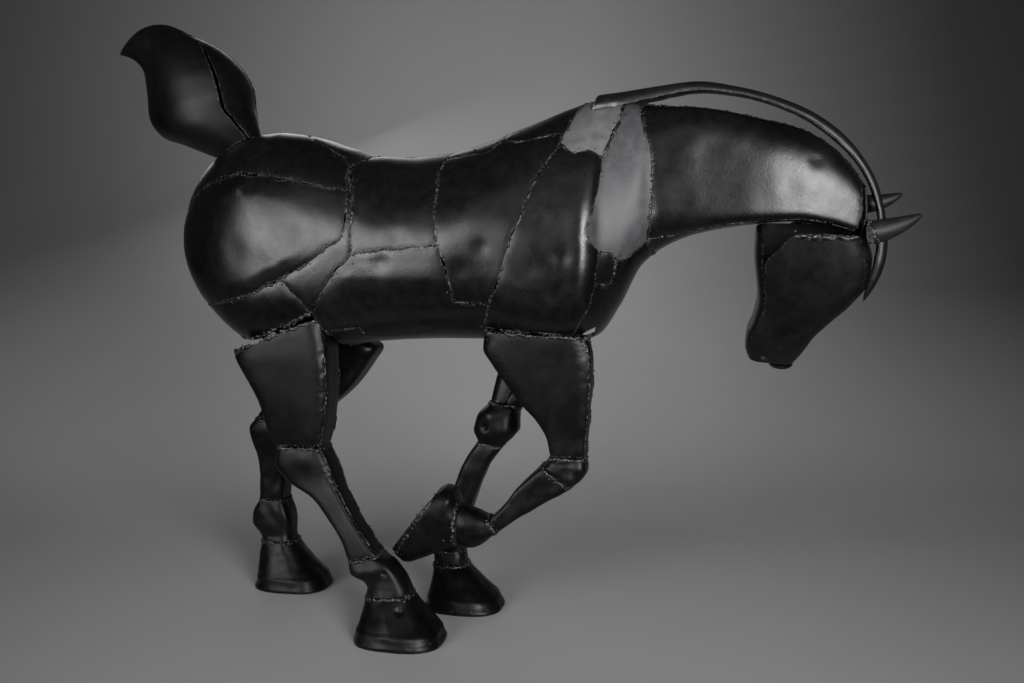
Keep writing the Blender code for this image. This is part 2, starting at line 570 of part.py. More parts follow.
def tail_leaf(kind):
    """Side leaf (near or far) or crest leaf of the tail pod, with v from the root to the tip."""
    last_row = len(TAIL) - 1
    knots = [[(i / last_row, row[k]) for i, row in enumerate(TAIL)] for k in range(9)]

    def free_point(v, t):
        rear_x, rear_z, seam_x, seam_z, near, crest_x, crest_z, far, bow = (smooth(k, v) for k in knots)
        if kind == "crest":
            bulge = CREST_LEAF_BULGE * (1 - v * v) * 4 * t * (1 - t)
            x = seam_x + (crest_x - seam_x) * t + bulge
            y = near * (t - 1) + far * t
            z = seam_z + (crest_z - seam_z) * t + bulge
        else:
            side, depth = (NEAR, near) if kind == "near" else (FAR, far)
            edge_x, edge_z = (seam_x, seam_z) if kind == "near" else (crest_x, crest_z)
            x = rear_x + (edge_x - rear_x) * t
            belly = (1 - (1 - t) ** 3) * (1.5 - 0.5 * t)
            y = side * (LEAF_SPREAD + depth * belly)
            z = rear_z + (edge_z - rear_z) * t + bow * 4 * t * (1 - t)
        return Vector((x, y, z))

    def surface(v, t):
        point = free_point(v, t)
        foot = free_point(0.0, t)
        drop = foot.z - TAIL_GAP - crest_height(foot.x, foot.y)
        point.z -= drop * max(1 - v * last_row, 0.0)
        return point
    return surface


# ---------------------------------------------------------------- solids
def steel(name):
    """Satin black paint over steel sheet."""
    material = bpy.data.materials.new(name)
    material.use_nodes = True
    shader = material.node_tree.nodes["Principled BSDF"]
    shader.inputs["Base Color"].default_value = (0.012, 0.012, 0.014, 1.0)
    shader.inputs["Metallic"].default_value = 0.25
    shader.inputs["Roughness"].default_value = 0.4
    return material


def add_object(name, vertices, faces):
    """Closed body from vertices and faces, turned to face outward and shaded smooth."""
    mesh = bpy.data.meshes.new(name)
    mesh.from_pydata([tuple(v) for v in vertices], [], faces)
    shape = bmesh.new()
    shape.from_mesh(mesh)
    bmesh.ops.recalc_face_normals(shape, faces=shape.faces)
    if shape.calc_volume(signed=True) < 0:
        bmesh.ops.reverse_faces(shape, faces=shape.faces)
    bmesh.ops.triangulate(shape, faces=[f for f in shape.faces if len(f.verts) > 4])
    shape.to_mesh(mesh)
    shape.free()
    mesh.shade_smooth()
    mesh.set_sharp_from_angle(angle=math.radians(35))
    mesh.materials.append(steel(name))
    part = bpy.data.objects.new(name, mesh)
    bpy.context.scene.collection.objects.link(part)
    return part


def inset_outline(outline, distance):
    """Outline moved inward by a distance, with its corners kept sharp."""
    area = sum(a[0] * b[1] - b[0] * a[1] for a, b in zip(outline, outline[1:] + outline[:1]))
    if area < 0:
        outline = outline[::-1]
    moved = []
    for i, point in enumerate(outline):
        before = outline[i - 1]
        after = outline[(i + 1) % len(outline)]
        first = Vector((point[0] - before[0], point[1] - before[1])).normalized()
        second = Vector((after[0] - point[0], after[1] - point[1])).normalized()
        left_first = Vector((-first.y, first.x))
        left_second = Vector((-second.y, second.x))
        miter = left_first + left_second
        reach = distance * 2 / max(miter.length_squared, 0.5)
        moved.append(Vector(point) + miter * reach)
    return moved


def inside(point, outline):
    crossings = 0
    for a, b in zip(outline, outline[1:] + outline[:1]):
        if (a[1] > point[1]) != (b[1] > point[1]):
            if point[0] < a[0] + (point[1] - a[1]) * (b[0] - a[0]) / (b[1] - a[1]):
                crossings += 1
    return crossings % 2 == 1


def clearance(point, outline):
    best = 1.0
    for a, b in zip(outline, outline[1:] + outline[:1]):
        edge = b - a
        share = min(max((point - a).dot(edge) / edge.length_squared, 0.0), 1.0)
        best = min(best, (point - a - edge * share).length)
    return best


def outward(surface, s, t, step=0.0008):
    """Normal of a surface by differences. The caller settles its sign."""
    along_s = surface(s + step, t) - surface(s - step, t)
    along_t = surface(s, t + step) - surface(s, t - step)
    return along_s.cross(along_t).normalized()


def plate(name, surface, outline, thickness=SHEET, step=FACE_STEP, flip=1, scale=1.0):
    """Bent sheet: an outline in the plane of the surface, filled, and given a thickness inward.

    The scale turns the second coordinate into metres.
    """
    border = inset_outline([(v, t * scale) for v, t in outline], EDGE_INSET)
    low_s, high_s = min(p.x for p in border), max(p.x for p in border)
    low_t, high_t = min(p.y for p in border), max(p.y for p in border)
    count_s = max(1, round((high_s - low_s) / step))
    count_t = max(1, round((high_t - low_t) / step))
    inner = []
    for i in range(1, count_s):
        for k in range(1, count_t):
            point = Vector((low_s + (high_s - low_s) * i / count_s, low_t + (high_t - low_t) * k / count_t))
            if inside(point, border) and clearance(point, border) > 0.4 * step:
                inner.append(point)
    loop = list(range(len(border)))
    flat, _, triangles, _, _, _ = delaunay_2d_cdt(border + inner, [], [loop], 1, 1e-7)
    outer = [surface(p.x, p.y / scale) for p in flat]
    under = [q - outward(surface, p.x, p.y / scale) * thickness * flip for p, q in zip(flat, outer)]
    count = len(flat)
    faces = [tuple(f) for f in triangles]
    directed = {(a, b) for face in faces for a, b in zip(face, face[1:] + face[:1])}
    rim = [(a, b) for a, b in directed if (b, a) not in directed]
    faces += [tuple(v + count for v in reversed(f)) for f in triangles]
    faces += [(b, a, a + count, b + count) for a, b in rim]
    return add_object(name, outer + under, faces)


def solid(name, surface, length, around=14, rows=4):
    """Closed body along the whole of a surface, with flat ends."""
    levels = [length * i / rows for i in range(rows + 1)]
    vertices = [surface(v, 2 * math.pi * k / around) for v in levels for k in range(around)]
    faces = []
    for i in range(len(levels) - 1):
        for k in range(around):
            a = i * around + k
            b = i * around + (k + 1) % around
            faces.append((a, b, b + around, a + around))
    faces.append(tuple(range(around)))
    faces.append(tuple(range((len(levels) - 1) * around, len(levels) * around)))
    return add_object(name, vertices, faces)


def evenly(start, end, step):
    """Levels from start to end, no further apart than the step."""
    count = max(1, math.ceil(abs(end - start) / step))
    return [start + (end - start) * i / count for i in range(count + 1)]


def band(levels, low, high, step):
    """Outline between the first and last level and between two angles."""
    turns = evenly(low, high, step)
    outline = [(v, low) for v in levels[:-1]] + [(levels[-1], t) for t in turns[:-1]]
    outline += [(v, high) for v in levels[:0:-1]] + [(levels[0], t) for t in turns[:0:-1]]
    return outline


# ---------------------------------------------------------------- the horse
def build_trunk():
    for side, plates in ((NEAR, NEAR_PLATES), (FAR, FAR_PLATES)):
        for name, seams in plates.items():
            plate(name, skin(side), chain([seam_points(seam) for seam in seams]), flip=-side)
    for name, seams in PAIRED_PLATES.items():
        for side, prefix in ((NEAR, "near_"), (FAR, "far_")):
            plate(prefix + name, skin(side), chain([seam_points(seam) for seam in seams]), flip=-side)
    for name, seams in WRAPPED_PLATES.items():
        near_half = [seam_points(seam) for seam in seams]
        far_half = [seam_points(seam, mirrored=True)[::-1] for seam in reversed(seams)]
        plate(name, skin(NEAR), chain(near_half + far_half), flip=1)


def limb_sheet(name, stations, side, low, high):
    """Sheet of an upper limb between two angles."""
    outline = band(evenly(0.0, limb_length(stations), 0.07), low, high, 0.6)
    plate(name, limb(stations, side), outline, step=0.05, flip=side, scale=stations[1][5])


def build_limbs():
    for name, stations in (("near_hind_thigh", NEAR_THIGH), ("near_hind_shank", NEAR_SHANK),
                           ("near_fore_arm", NEAR_ARM)):
        limb_sheet(name + "_channel", stations, NEAR, LIMB_CORNER, 2 * math.pi - LIMB_CORNER)
        limb_sheet(name + "_front_strip", stations, NEAR, -LIMB_CORNER, LIMB_CORNER)
    for name, stations in (("far_hind_thigh", FAR_THIGH), ("far_fore_arm", FAR_ARM)):
        limb_sheet(name, stations, FAR, INNER_SLIT - math.pi / 2, 1.5 * math.pi - INNER_SLIT)
    for name, stations, side, rows in (
            ("near_hind_fetlock", NEAR_HIND_FETLOCK, NEAR, 4), ("near_hind_hoof", NEAR_HIND_HOOF, NEAR, 3),
            ("far_hind_shank", FAR_SHANK, FAR, 6), ("far_hind_fetlock", FAR_HIND_FETLOCK, FAR, 4),
            ("far_hind_hoof", FAR_HIND_HOOF, FAR, 3), ("near_fore_knee", NEAR_KNEE, NEAR, 3),
            ("near_fore_cannon", NEAR_FORE_CANNON, NEAR, 4),
            ("near_fore_fetlock", NEAR_FORE_FETLOCK, NEAR, 4),
            ("near_fore_hoof", NEAR_FORE_HOOF, NEAR, 4), ("far_fore_knee", FAR_KNEE, FAR, 4),
            ("far_fore_cannon", FAR_CANNON, FAR, 4), ("far_fore_pastern", FAR_PASTERN, FAR, 1),
            ("far_fore_hoof", FAR_FORE_HOOF, FAR, 3)):
        solid(name, limb(stations, side), limb_length(stations), rows=rows)


def build_head():
    surface = head_surface(HEAD)
    distances = [d for d, _ in column(HEAD, 0)]
    top = distances[HEAD_TOP_STATION]
    end = distances[-1]
    front = math.radians(45)
    jaw = math.radians(135)
    turn = 2 * math.pi
    levels = evenly(top, end, 0.05)
    cheek = ([(v, front) for v in levels[:-1]]
             + [(end, front + (jaw - front) * i / 4) for i in range(4)]
             + [(v, jaw) for v in levels[:0:-1]]
             + [(top + 0.022, math.radians(124)), (top - 0.012, math.radians(108)),
                (top - 0.014, math.radians(75)), (top - 0.006, math.radians(48))])
    outlines = {
        "near_cheek_plate": cheek,
        "far_cheek_plate": band(levels, turn - jaw, turn - front, 0.6),
        "throat_plate": band(levels, jaw, turn - jaw, 0.6),
        "forehead_plate": band(evenly(0.0, top, 0.05)[:-1] + levels, -front, front, 0.6),
    }
    for name, outline in outlines.items():
        plate(name, surface, outline, step=0.04, flip=-1, scale=HEAD[HEAD_TOP_STATION][4])
    solid("muzzle", head_surface(MUZZLE), limb_length(MUZZLE), around=12, rows=2)
    for name, ear in EARS.items():
        cone = ear_surface(ear["base"], ear["tip"], ear["radius"], ear["turn"])
        plate(name, cone, band(evenly(0.0, 0.96, 0.25), -EAR_SWEEP, EAR_SWEEP, 0.55), thickness=EAR_SHEET,
              step=0.2, scale=0.3)


def build_mane():
    levels = evenly(0.0, limb_length(MANE), 0.05)
    plate("mane", mane_surface(), band(levels, -math.pi / 2, math.pi / 2, 0.8), step=0.025, scale=0.03)


def build_tail():
    for kind, flip in (("near", -1), ("far", 1), ("crest", -1)):
        outline = band(evenly(0.0, 1.0, 0.11), *LEAF_EDGES[kind], 0.3)
        plate("tail_" + kind + "_leaf", tail_leaf(kind), outline, step=0.3, flip=flip)


def stand_on_origin():
    """Moves the horse so that the middle of its bounding box is above the origin and its feet at z 0."""
    parts = [o for o in bpy.data.objects if o.type == "MESH"]
    points = [v.co for part in parts for v in part.data.vertices]
    shift = Vector((-(min(p.x for p in points) + max(p.x for p in points)) / 2,
                    -(min(p.y for p in points) + max(p.y for p in points)) / 2,
                    -min(p.z for p in points)))
    for part in parts:
        for vertex in part.data.vertices:
            vertex.co += shift


def clear_scene():
    for item in list(bpy.data.objects):
        bpy.data.objects.remove(item, do_unlink=True)


clear_scene()
build_trunk()
build_limbs()
build_head()
build_mane()
build_tail()
stand_on_origin()
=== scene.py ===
"""Looks of the standing horse of welded sheet-steel plates.

Every CAD node is stood for by a finer piece on the same surface: plates with torch-cut edges, dents and
real thickness, and tubes and hooves with lips and knuckles. Weld beads and spatter run along the seams.
The tables are the horse's own dimensions, as in the part's source, written in millimetres.
"""
import math

import bpy
import numpy as np
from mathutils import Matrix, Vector
from mathutils.geometry import delaunay_2d_cdt


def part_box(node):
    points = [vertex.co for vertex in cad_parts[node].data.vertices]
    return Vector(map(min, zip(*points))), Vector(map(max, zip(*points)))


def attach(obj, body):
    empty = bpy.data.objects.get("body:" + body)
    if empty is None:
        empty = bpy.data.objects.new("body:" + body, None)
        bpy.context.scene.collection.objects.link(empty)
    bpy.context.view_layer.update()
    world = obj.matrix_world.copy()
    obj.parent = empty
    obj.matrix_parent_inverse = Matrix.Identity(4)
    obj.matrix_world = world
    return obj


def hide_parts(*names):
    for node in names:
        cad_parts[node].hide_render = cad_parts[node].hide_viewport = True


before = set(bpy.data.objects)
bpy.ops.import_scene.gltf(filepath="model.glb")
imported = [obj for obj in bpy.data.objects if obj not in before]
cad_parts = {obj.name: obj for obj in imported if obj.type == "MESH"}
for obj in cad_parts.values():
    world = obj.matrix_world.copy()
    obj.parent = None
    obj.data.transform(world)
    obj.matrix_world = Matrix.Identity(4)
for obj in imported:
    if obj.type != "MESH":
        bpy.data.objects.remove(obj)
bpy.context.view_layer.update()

# ---------------------------------------------------------------- dimensions of the horse
SHEET = 0.003            # thickness of the steel sheet
GIRTH_RADIUS = 0.16      # turns an angle round the trunk into a distance
NEAR = -1
FAR = 1


def metres(table, columns):
    """Table whose first columns are turned from millimetres into metres."""
    return [tuple(value / 1000 for value in row[:columns]) + row[columns:] for row in table]


# Trunk and neck: heights and widths along x.
X_REAR = -0.638          # rearmost point of the rump
X_HIP = -0.430           # the rump closes behind this section
REAR_Z = 0.707
RUMP_LENGTH = X_HIP - X_REAR
RUMP_ROUNDNESS = {"crest": 2.1, "belly": 1.68, "width": 2.2}
CREST = metres((
    (-430, 912), (-368, 903), (-300, 880), (-244, 865), (-180, 863), (-120, 868), (-60, 883), (0, 904),
    (60, 926), (110, 944), (160, 957), (200, 956), (240, 948), (340, 939), (450, 916), (505, 900),
    (550, 875), (585, 842), (607, 812),
), 2)
BELLY = metres((
    (-430, 497), (-368, 500), (-300, 512), (-240, 522), (-60, 530), (60, 530), (110, 526), (160, 538),
    (200, 592), (240, 668), (290, 705), (340, 723), (400, 735), (450, 741), (505, 744), (550, 738),
    (585, 728), (607, 722),
), 2)
HALF_WIDTH = metres((
    (-430, 157), (-244, 156), (-60, 157), (0, 156), (60, 154), (110, 149), (145, 143), (160, 133),
    (172, 120), (200, 107), (240, 90), (255, 81), (270, 77), (340, 75), (450, 70), (505, 65), (555, 57),
    (607, 47),
), 2)
WIDEST = metres((
    (-638, 702), (-430, 676), (-300, 676), (-240, 692), (-100, 697), (-40, 706), (0, 706), (60, 704),
    (110, 702), (160, 712), (200, 730), (240, 762), (290, 782), (400, 784), (505, 778), (607, 760),
), 2)
UPPER_FULLNESS = metres((
    (-638, 2.1), (-535, 2.5), (-430, 2.8), (-330, 2.6), (-250, 2.3), (-200, 2.0), (0, 1.9), (160, 1.75),
    (200, 1.8), (240, 2.2), (290, 3.2), (340, 3.8), (450, 3.6), (607, 3.2),
), 1)
LOWER_FULLNESS = metres((
    (-638, 2.0), (-535, 2.7), (-430, 3.0), (-368, 3.0), (-300, 2.9), (-244, 2.8), (-100, 2.65),
    (-40, 2.5), (0, 2.9), (20, 3.3), (60, 3.7), (100, 3.6), (140, 3.1), (170, 2.5), (200, 2.2),
    (240, 2.3), (290, 3.2), (340, 4.5), (450, 7.0), (607, 8.0),
), 1)

# Seams of the skin as (x, angle): 90 degrees is the crest, 0 the widest line, -90 the belly line.
SEAMS = {
    "rump crest": ((-0.6376, 90), (-0.400, 90)),
    "croup edge": ((-0.400, 90), (-0.361, 71), (-0.296, 60), (-0.275, 53)),
    "loin edge": ((-0.275, 53), (-0.258, 67), (-0.244, 90)),
    "rump middle": ((-0.6376, 45), (-0.577, 37), (-0.484, 37), (-0.394, 35), (-0.322, 35), (-0.268, 36)),
    "rump front": ((-0.275, 53), (-0.272, 43), (-0.268, 36)),
    "rump curl": ((-0.268, 36), (-0.266, 27), (-0.272, 11), (-0.302, 6), (-0.330, -1), (-0.388, -11)),
    "rump bottom": ((-0.388, -11), (-0.458, -21), (-0.502, -28), (-0.550, -41), (-0.586, -65),
        (-0.598, -90)),
    "band front": ((-0.388, -11), (-0.360, -21), (-0.335, -31)),
    "thigh top": ((-0.335, -31), (-0.357, -33), (-0.378, -36), (-0.430, -43), (-0.498, -59),
        (-0.520, -90)),
    "rump keel": ((-0.598, -90), (-0.520, -90)),
    "rump rear keel": ((-0.598, -90), (-0.6376, -90)),
    "rump rear low": ((-0.6376, -90), (-0.6376, 45)),
    "rump rear high": ((-0.6376, 45), (-0.6376, 90)),
    "barrel rear": ((-0.275, 53), (-0.262, 39), (-0.255, 31), (-0.256, 10), (-0.256, -2)),
    "flank crack": ((-0.256, -2), (-0.266, -5), (-0.284, -7), (-0.306, -17), (-0.335, -31)),
    "flank corner": ((-0.335, -31), (-0.318, -44)),
    "groin edge": ((-0.318, -44), (-0.300, -44), (-0.253, -47)),
    "groin front": ((-0.253, -47), (-0.250, -90)),
    "groin rear": ((-0.318, -44), (-0.306, -54), (-0.298, -90)),
    "barrel crest": ((-0.244, 90), (-0.104, 90)),
    "rib top": ((-0.104, 90), (-0.104, 68)),
    "rib rear": ((-0.104, 68), (-0.109, 52), (-0.106, 32), (-0.104, 13), (-0.097, 2)),
    "barrel middle": ((-0.256, -2), (-0.182, 0), (-0.097, 2)),
    "rib low": ((-0.097, 2), (-0.091, -5), (-0.080, -18), (-0.072, -32)),
    "rib bottom": ((-0.072, -32), (-0.045, -34), (-0.012, -34)),
    "elbow step": ((-0.012, -34), (-0.028, -52)),
    "barrel front": ((-0.028, -52), (-0.034, -90)),
    "barrel keel": ((-0.250, -90), (-0.034, -90)),
    "spine low rear": ((-0.104, 68), (-0.065, 63), (-0.031, 59), (-0.012, 64), (-0.002, 70)),
    "spine low front": ((-0.002, 70), (0.008, 64), (0.031, 59), (0.084, 57), (0.108, 55)),
    "spine step": ((-0.002, 70), (0.002, 90)),
    "spine crest rear": ((-0.104, 90), (0.002, 90)),
    "spine crest front": ((0.002, 90), (0.140, 90)),
    "shoulder rear": ((-0.012, -34), (0.011, -17), (0.029, 2), (0.045, 11), (0.053, 18), (0.064, 27),
        (0.082, 38), (0.104, 49)),
    "withers notch": ((0.104, 49), (0.108, 55)),
    "withers rear": ((0.108, 55), (0.118, 65), (0.128, 76), (0.140, 90)),
    "withers low": ((0.104, 49), (0.130, 41), (0.159, 39), (0.175, 35)),
    "withers front": ((0.175, 35), (0.180, 39), (0.191, 48), (0.202, 60), (0.207, 90)),
    "withers crest": ((0.140, 90), (0.207, 90)),
    "shoulder front": ((0.175, 35), (0.171, 23), (0.160, 9), (0.156, 1), (0.172, -8)),
    "patch rear": ((0.172, -8), (0.169, -16), (0.165, -25)),
    "shoulder low": ((0.165, -25), (0.159, -34)),
    "shoulder tip": ((0.159, -34), (0.143, -43), (0.128, -51)),
    "shoulder bottom": ((0.128, -51), (0.105, -49), (0.053, -49), (0.015, -50), (-0.028, -52)),
    "patch top": ((0.172, -8), (0.192, -14), (0.203, -23)),
    "patch front": ((0.203, -23), (0.200, -31), (0.192, -37)),
    "patch bottom": ((0.192, -37), (0.178, -30), (0.165, -25)),
    "neck base low": ((0.203, -23), (0.220, -34), (0.239, -41), (0.253, -38)),
    "neck root": ((0.253, -38), (0.257, -11), (0.260, 8), (0.261, 21), (0.255, 33), (0.246, 44),
        (0.238, 66), (0.236, 90)),
    "neck base crest": ((0.207, 90), (0.236, 90)),
    "neck crest": ((0.236, 90), (0.607, 90)),
    "neck low": ((0.253, -38), (0.293, -48), (0.332, -48), (0.375, -48), (0.437, -48), (0.598, -49)),
    "neck end": ((0.607, 90), (0.607, 26), (0.606, -10), (0.598, -49)),
    "throat root": ((0.253, -38), (0.258, -59), (0.262, -90)),
    "throat end": ((0.598, -49), (0.598, -90)),
    "chest side": ((0.159, -34), (0.143, -43), (0.134, -51), (0.141, -56), (0.160, -57), (0.166, -61),
        (0.140, -70), (-0.030, -70)),
    "chest rear": ((-0.030, -70), (-0.030, -90)),
}

# Plates of the skin: seams in order round the plate, a minus sign runs a seam backward. Paired plates
# come in a near and a far copy. Wrapped plates give their near half and cross the middle plane.
NEAR_PLATES = {
    "near_rump_upper_plate": ("rump crest", "croup edge", "rump front", "-rump middle"),
    "near_rump_side_plate": ("rump middle", "rump curl", "rump bottom", "rump rear keel",
                             "rump rear low"),
    "near_shoulder_plate": ("shoulder rear", "withers low", "shoulder front", "patch rear",
                            "shoulder low", "shoulder tip", "shoulder bottom", "-elbow step"),
    "near_withers_patch": ("withers notch", "withers rear", "withers crest", "-withers front",
                           "-withers low"),
    "near_neck_base_plate": ("withers front", "neck base crest", "-neck root", "-neck base low",
                             "-patch top", "-shoulder front"),
    "near_chest_patch": ("patch top", "patch front", "patch bottom", "-patch rear"),
}
FAR_PLATES = {
    "far_rump_plate": ("rump crest", "croup edge", "rump front", "rump curl", "rump bottom",
                       "rump rear keel", "rump rear low", "rump rear high"),
    "far_shoulder_plate": ("shoulder rear", "withers notch", "withers rear", "withers crest",
                           "-withers front", "shoulder front", "patch rear", "shoulder low",
                           "shoulder tip", "shoulder bottom", "-elbow step"),
    "far_neck_base_plate": ("withers front", "neck base crest", "-neck root", "-neck base low",
                            "patch front", "patch bottom", "-patch rear", "-shoulder front"),
}
PAIRED_PLATES = {
    "flank_strip": ("barrel rear", "flank crack", "-band front", "-rump curl", "-rump front"),
    "rib_plate": ("rib rear", "rib low", "rib bottom", "shoulder rear", "withers notch",
                  "-spine low front", "-spine low rear"),
    "thigh_band": ("rump bottom", "rump keel", "-thigh top", "-band front"),
    "barrel_upper_plate": ("loin edge", "barrel crest", "rib top", "rib rear", "-barrel middle",
                           "-barrel rear"),
    "barrel_lower_plate": ("flank crack", "flank corner", "groin edge", "groin front",
                           "barrel keel", "-barrel front", "-elbow step", "-rib bottom", "-rib low",
                           "-barrel middle"),
    "neck_side_plate": ("neck crest", "neck end", "-neck low", "neck root"),
}
WRAPPED_PLATES = {
    "croup_patch": ("croup edge", "loin edge"),
    "spine_strip_rear": ("rib top", "spine low rear", "spine step"),
    "spine_strip_front": ("-spine step", "spine low front", "withers rear"),
    "groin_plate": ("-groin rear", "groin edge", "groin front"),
    "chest_plate": ("-chest rear", "-chest side", "-shoulder low", "-patch bottom", "-patch front",
                    "neck base low", "throat root"),
    "throat_strip": ("-throat root", "neck low", "throat end"),
}

# Limb sections: rear x, rear z, front x, front z, middle y, half width, fullness of the section.
NEAR_THIGH = metres((
    (-499, 504, -320, 574, -100, 44.5, 4.0),
    (-491, 490, -314, 512, -101, 44, 6.0),
    (-477, 468, -313, 474, -101, 42.5, 8.0),
    (-449, 416, -315, 420, -100, 40.5, 8.0),
    (-434, 363, -322, 368, -99.5, 37.5, 8.0),
    (-421, 335, -330, 336, -99, 34.5, 7.0),
), 6)
NEAR_SHANK = metres((
    (-416, 331, -330, 332, -100, 34.5, 7.0),
    (-421, 303, -319, 313, -102, 35, 6.0),
    (-400, 272, -306, 285, -105, 33, 6.0),
    (-346, 242, -290, 254, -114, 29, 7.0),
    (-310, 204, -266, 216, -123, 27.5, 7.0),
    (-282, 167, -238, 179, -132, 27, 7.0),
    (-269, 136, -213, 150, -138, 27, 7.0),
), 6)
NEAR_HIND_FETLOCK = metres((
    (-268, 134, -211, 148, -140, 28, 5.0),
    (-264, 113, -186, 132, -142, 32, 4.0),
    (-240, 100, -168, 112, -144, 30, 3.2),
    (-234, 88, -156, 95, -146, 31, 2.8),
    (-236, 77, -152, 84, -147, 34, 2.8),
), 6)
NEAR_HIND_HOOF = metres((
    (-236, 75, -151, 82, -147, 36, 2.8),
    (-242, 48, -128, 54, -151, 48, 2.8),
    (-249, 16, -95, 18, -159, 62, 2.8),
    (-250, 0, -90, 0, -161, 65, 2.8),
), 6)
FAR_THIGH = metres((
    (-507, 517, -322, 566, 96, 45, 4.0),
    (-506, 506, -318, 520, 98, 45, 4.0),
    (-505, 488, -292, 495, 98, 44, 5.0),
    (-503, 464, -308, 468, 97, 42, 6.0),
    (-512, 420, -345, 416, 91, 40, 6.0),
    (-530, 378, -390, 376, 86, 36, 6.0),
    (-546, 352, -452, 339, 80, 34, 5.0),
), 6)
FAR_SHANK = metres((
    (-548, 348, -455, 336, 80, 34, 5.0),
    (-563, 326, -475, 316, 79, 35, 4.5),
    (-558, 301, -483, 298, 78, 32, 5.0),
    (-547, 270, -489, 270, 77, 28, 6.0),
    (-542, 231, -490, 231, 76, 26, 6.0),
    (-545, 180, -491, 180, 75, 27, 6.0),
), 6)
FAR_HIND_FETLOCK = metres((
    (-545, 178, -490, 178, 75, 28, 5.0),
    (-560, 147, -478, 149, 74, 32, 4.0),
    (-562, 130, -474, 130, 73, 33, 3.2),
    (-547, 108, -474, 108, 72, 32, 2.8),
    (-540, 96, -472, 96, 71, 34, 2.8),
), 6)
FAR_HIND_HOOF = metres((
    (-541, 94, -470, 94, 70, 36, 2.8),
    (-545, 55, -442, 55, 68, 46, 2.8),
    (-548, 16, -405, 16, 66, 59, 2.8),
    (-552, 0, -400, 0, 65, 61, 2.8),
), 6)
NEAR_ARM = metres((
    (-27, 551, 156, 543, -94, 30, 4.5),
    (-29, 522, 161, 520, -92.5, 30, 6.0),
    (-13, 495, 163, 495, -90.5, 30.5, 8.0),
    (9, 464, 163, 458, -88.5, 30, 8.0),
    (37, 425, 159, 420, -86, 29, 8.0),
    (66, 393, 157, 390, -84, 28, 8.0),
    (84, 360, 154, 362, -83, 26.5, 7.0),
    (89, 332, 153, 332, -83, 26, 6.0),
), 6)
NEAR_KNEE = metres((
    (90, 330, 153, 330, -84, 27.5, 4.4),
    (84, 323, 156, 308, -85, 32.5, 3.8),
    (79, 318, 146, 288, -87, 32, 3.8),
    (77, 316, 130, 276, -89, 29, 4.0),
), 6)
NEAR_FORE_CANNON = metres((
    (75, 315, 127, 275, -90, 28, 5.0),
    (52, 294, 90, 253, -93, 26.5, 6.0),
    (29, 272, 58, 233, -97, 25, 6.0),
    (4, 237, 28, 214, -101, 24, 6.0),
    (-15, 220, 1, 194, -103, 24, 5.0),
), 6)
NEAR_FORE_FETLOCK = metres((
    (-17, 219, -3, 190, -104, 25, 3.0),
    (-36, 227, -32, 168, -103, 32, 2.6),
    (-55, 233, -53, 160, -103, 34, 2.5),
    (-72, 240, -77, 165, -102, 33, 2.4),
), 6)
NEAR_FORE_HOOF = metres((
    (-74, 242, -79, 164, -102, 35, 2.8),
    (-84, 266, -123, 143, -101, 45, 2.8),
    (-100, 270, -174, 127, -99, 53, 2.8),
    (-112, 262, -199, 148, -98, 54, 2.8),
), 6)
FAR_ARM = metres((
    (-22, 549, 122, 543, 94.5, 29.5, 4.0),
    (-26, 505, 90, 502, 94.5, 29.5, 4.0),
    (-40, 462, 60, 455, 80, 32, 4.0),
    (-54, 402, 12, 396, 69, 29, 4.0),
), 6)
FAR_KNEE = metres((
    (-56, 399, 10, 393, 68, 30, 4.0),
    (-79, 373, 1, 378, 66, 36, 3.0),
    (-87, 345, 0, 348, 64, 36, 3.0),
    (-78, 322, -28, 313, 62, 29, 3.6),
), 6)
FAR_CANNON = metres((
    (-79, 320, -30, 311, 62, 27, 5.0),
    (-102, 283, -58, 274, 60, 26, 6.0),
    (-124, 232, -79, 223, 57, 25, 6.0),
    (-155, 140, -105, 135, 52, 26, 6.0),
    (-162, 105, -107, 105, 50, 27, 5.0),
), 6)
FAR_PASTERN = metres((
    (-164, 103, -105, 103, 50, 29, 3.0),
    (-165, 78, -100, 81, 47, 31, 2.6),
), 6)
FAR_FORE_HOOF = metres((
    (-166, 76, -99, 79, 46, 34, 2.8),
    (-168, 45, -66, 50, 36, 46, 2.8),
    (-172, 15, -30, 16, 27, 60, 2.8),
    (-172, 0, -24, 0, 25, 63, 2.8),
), 6)

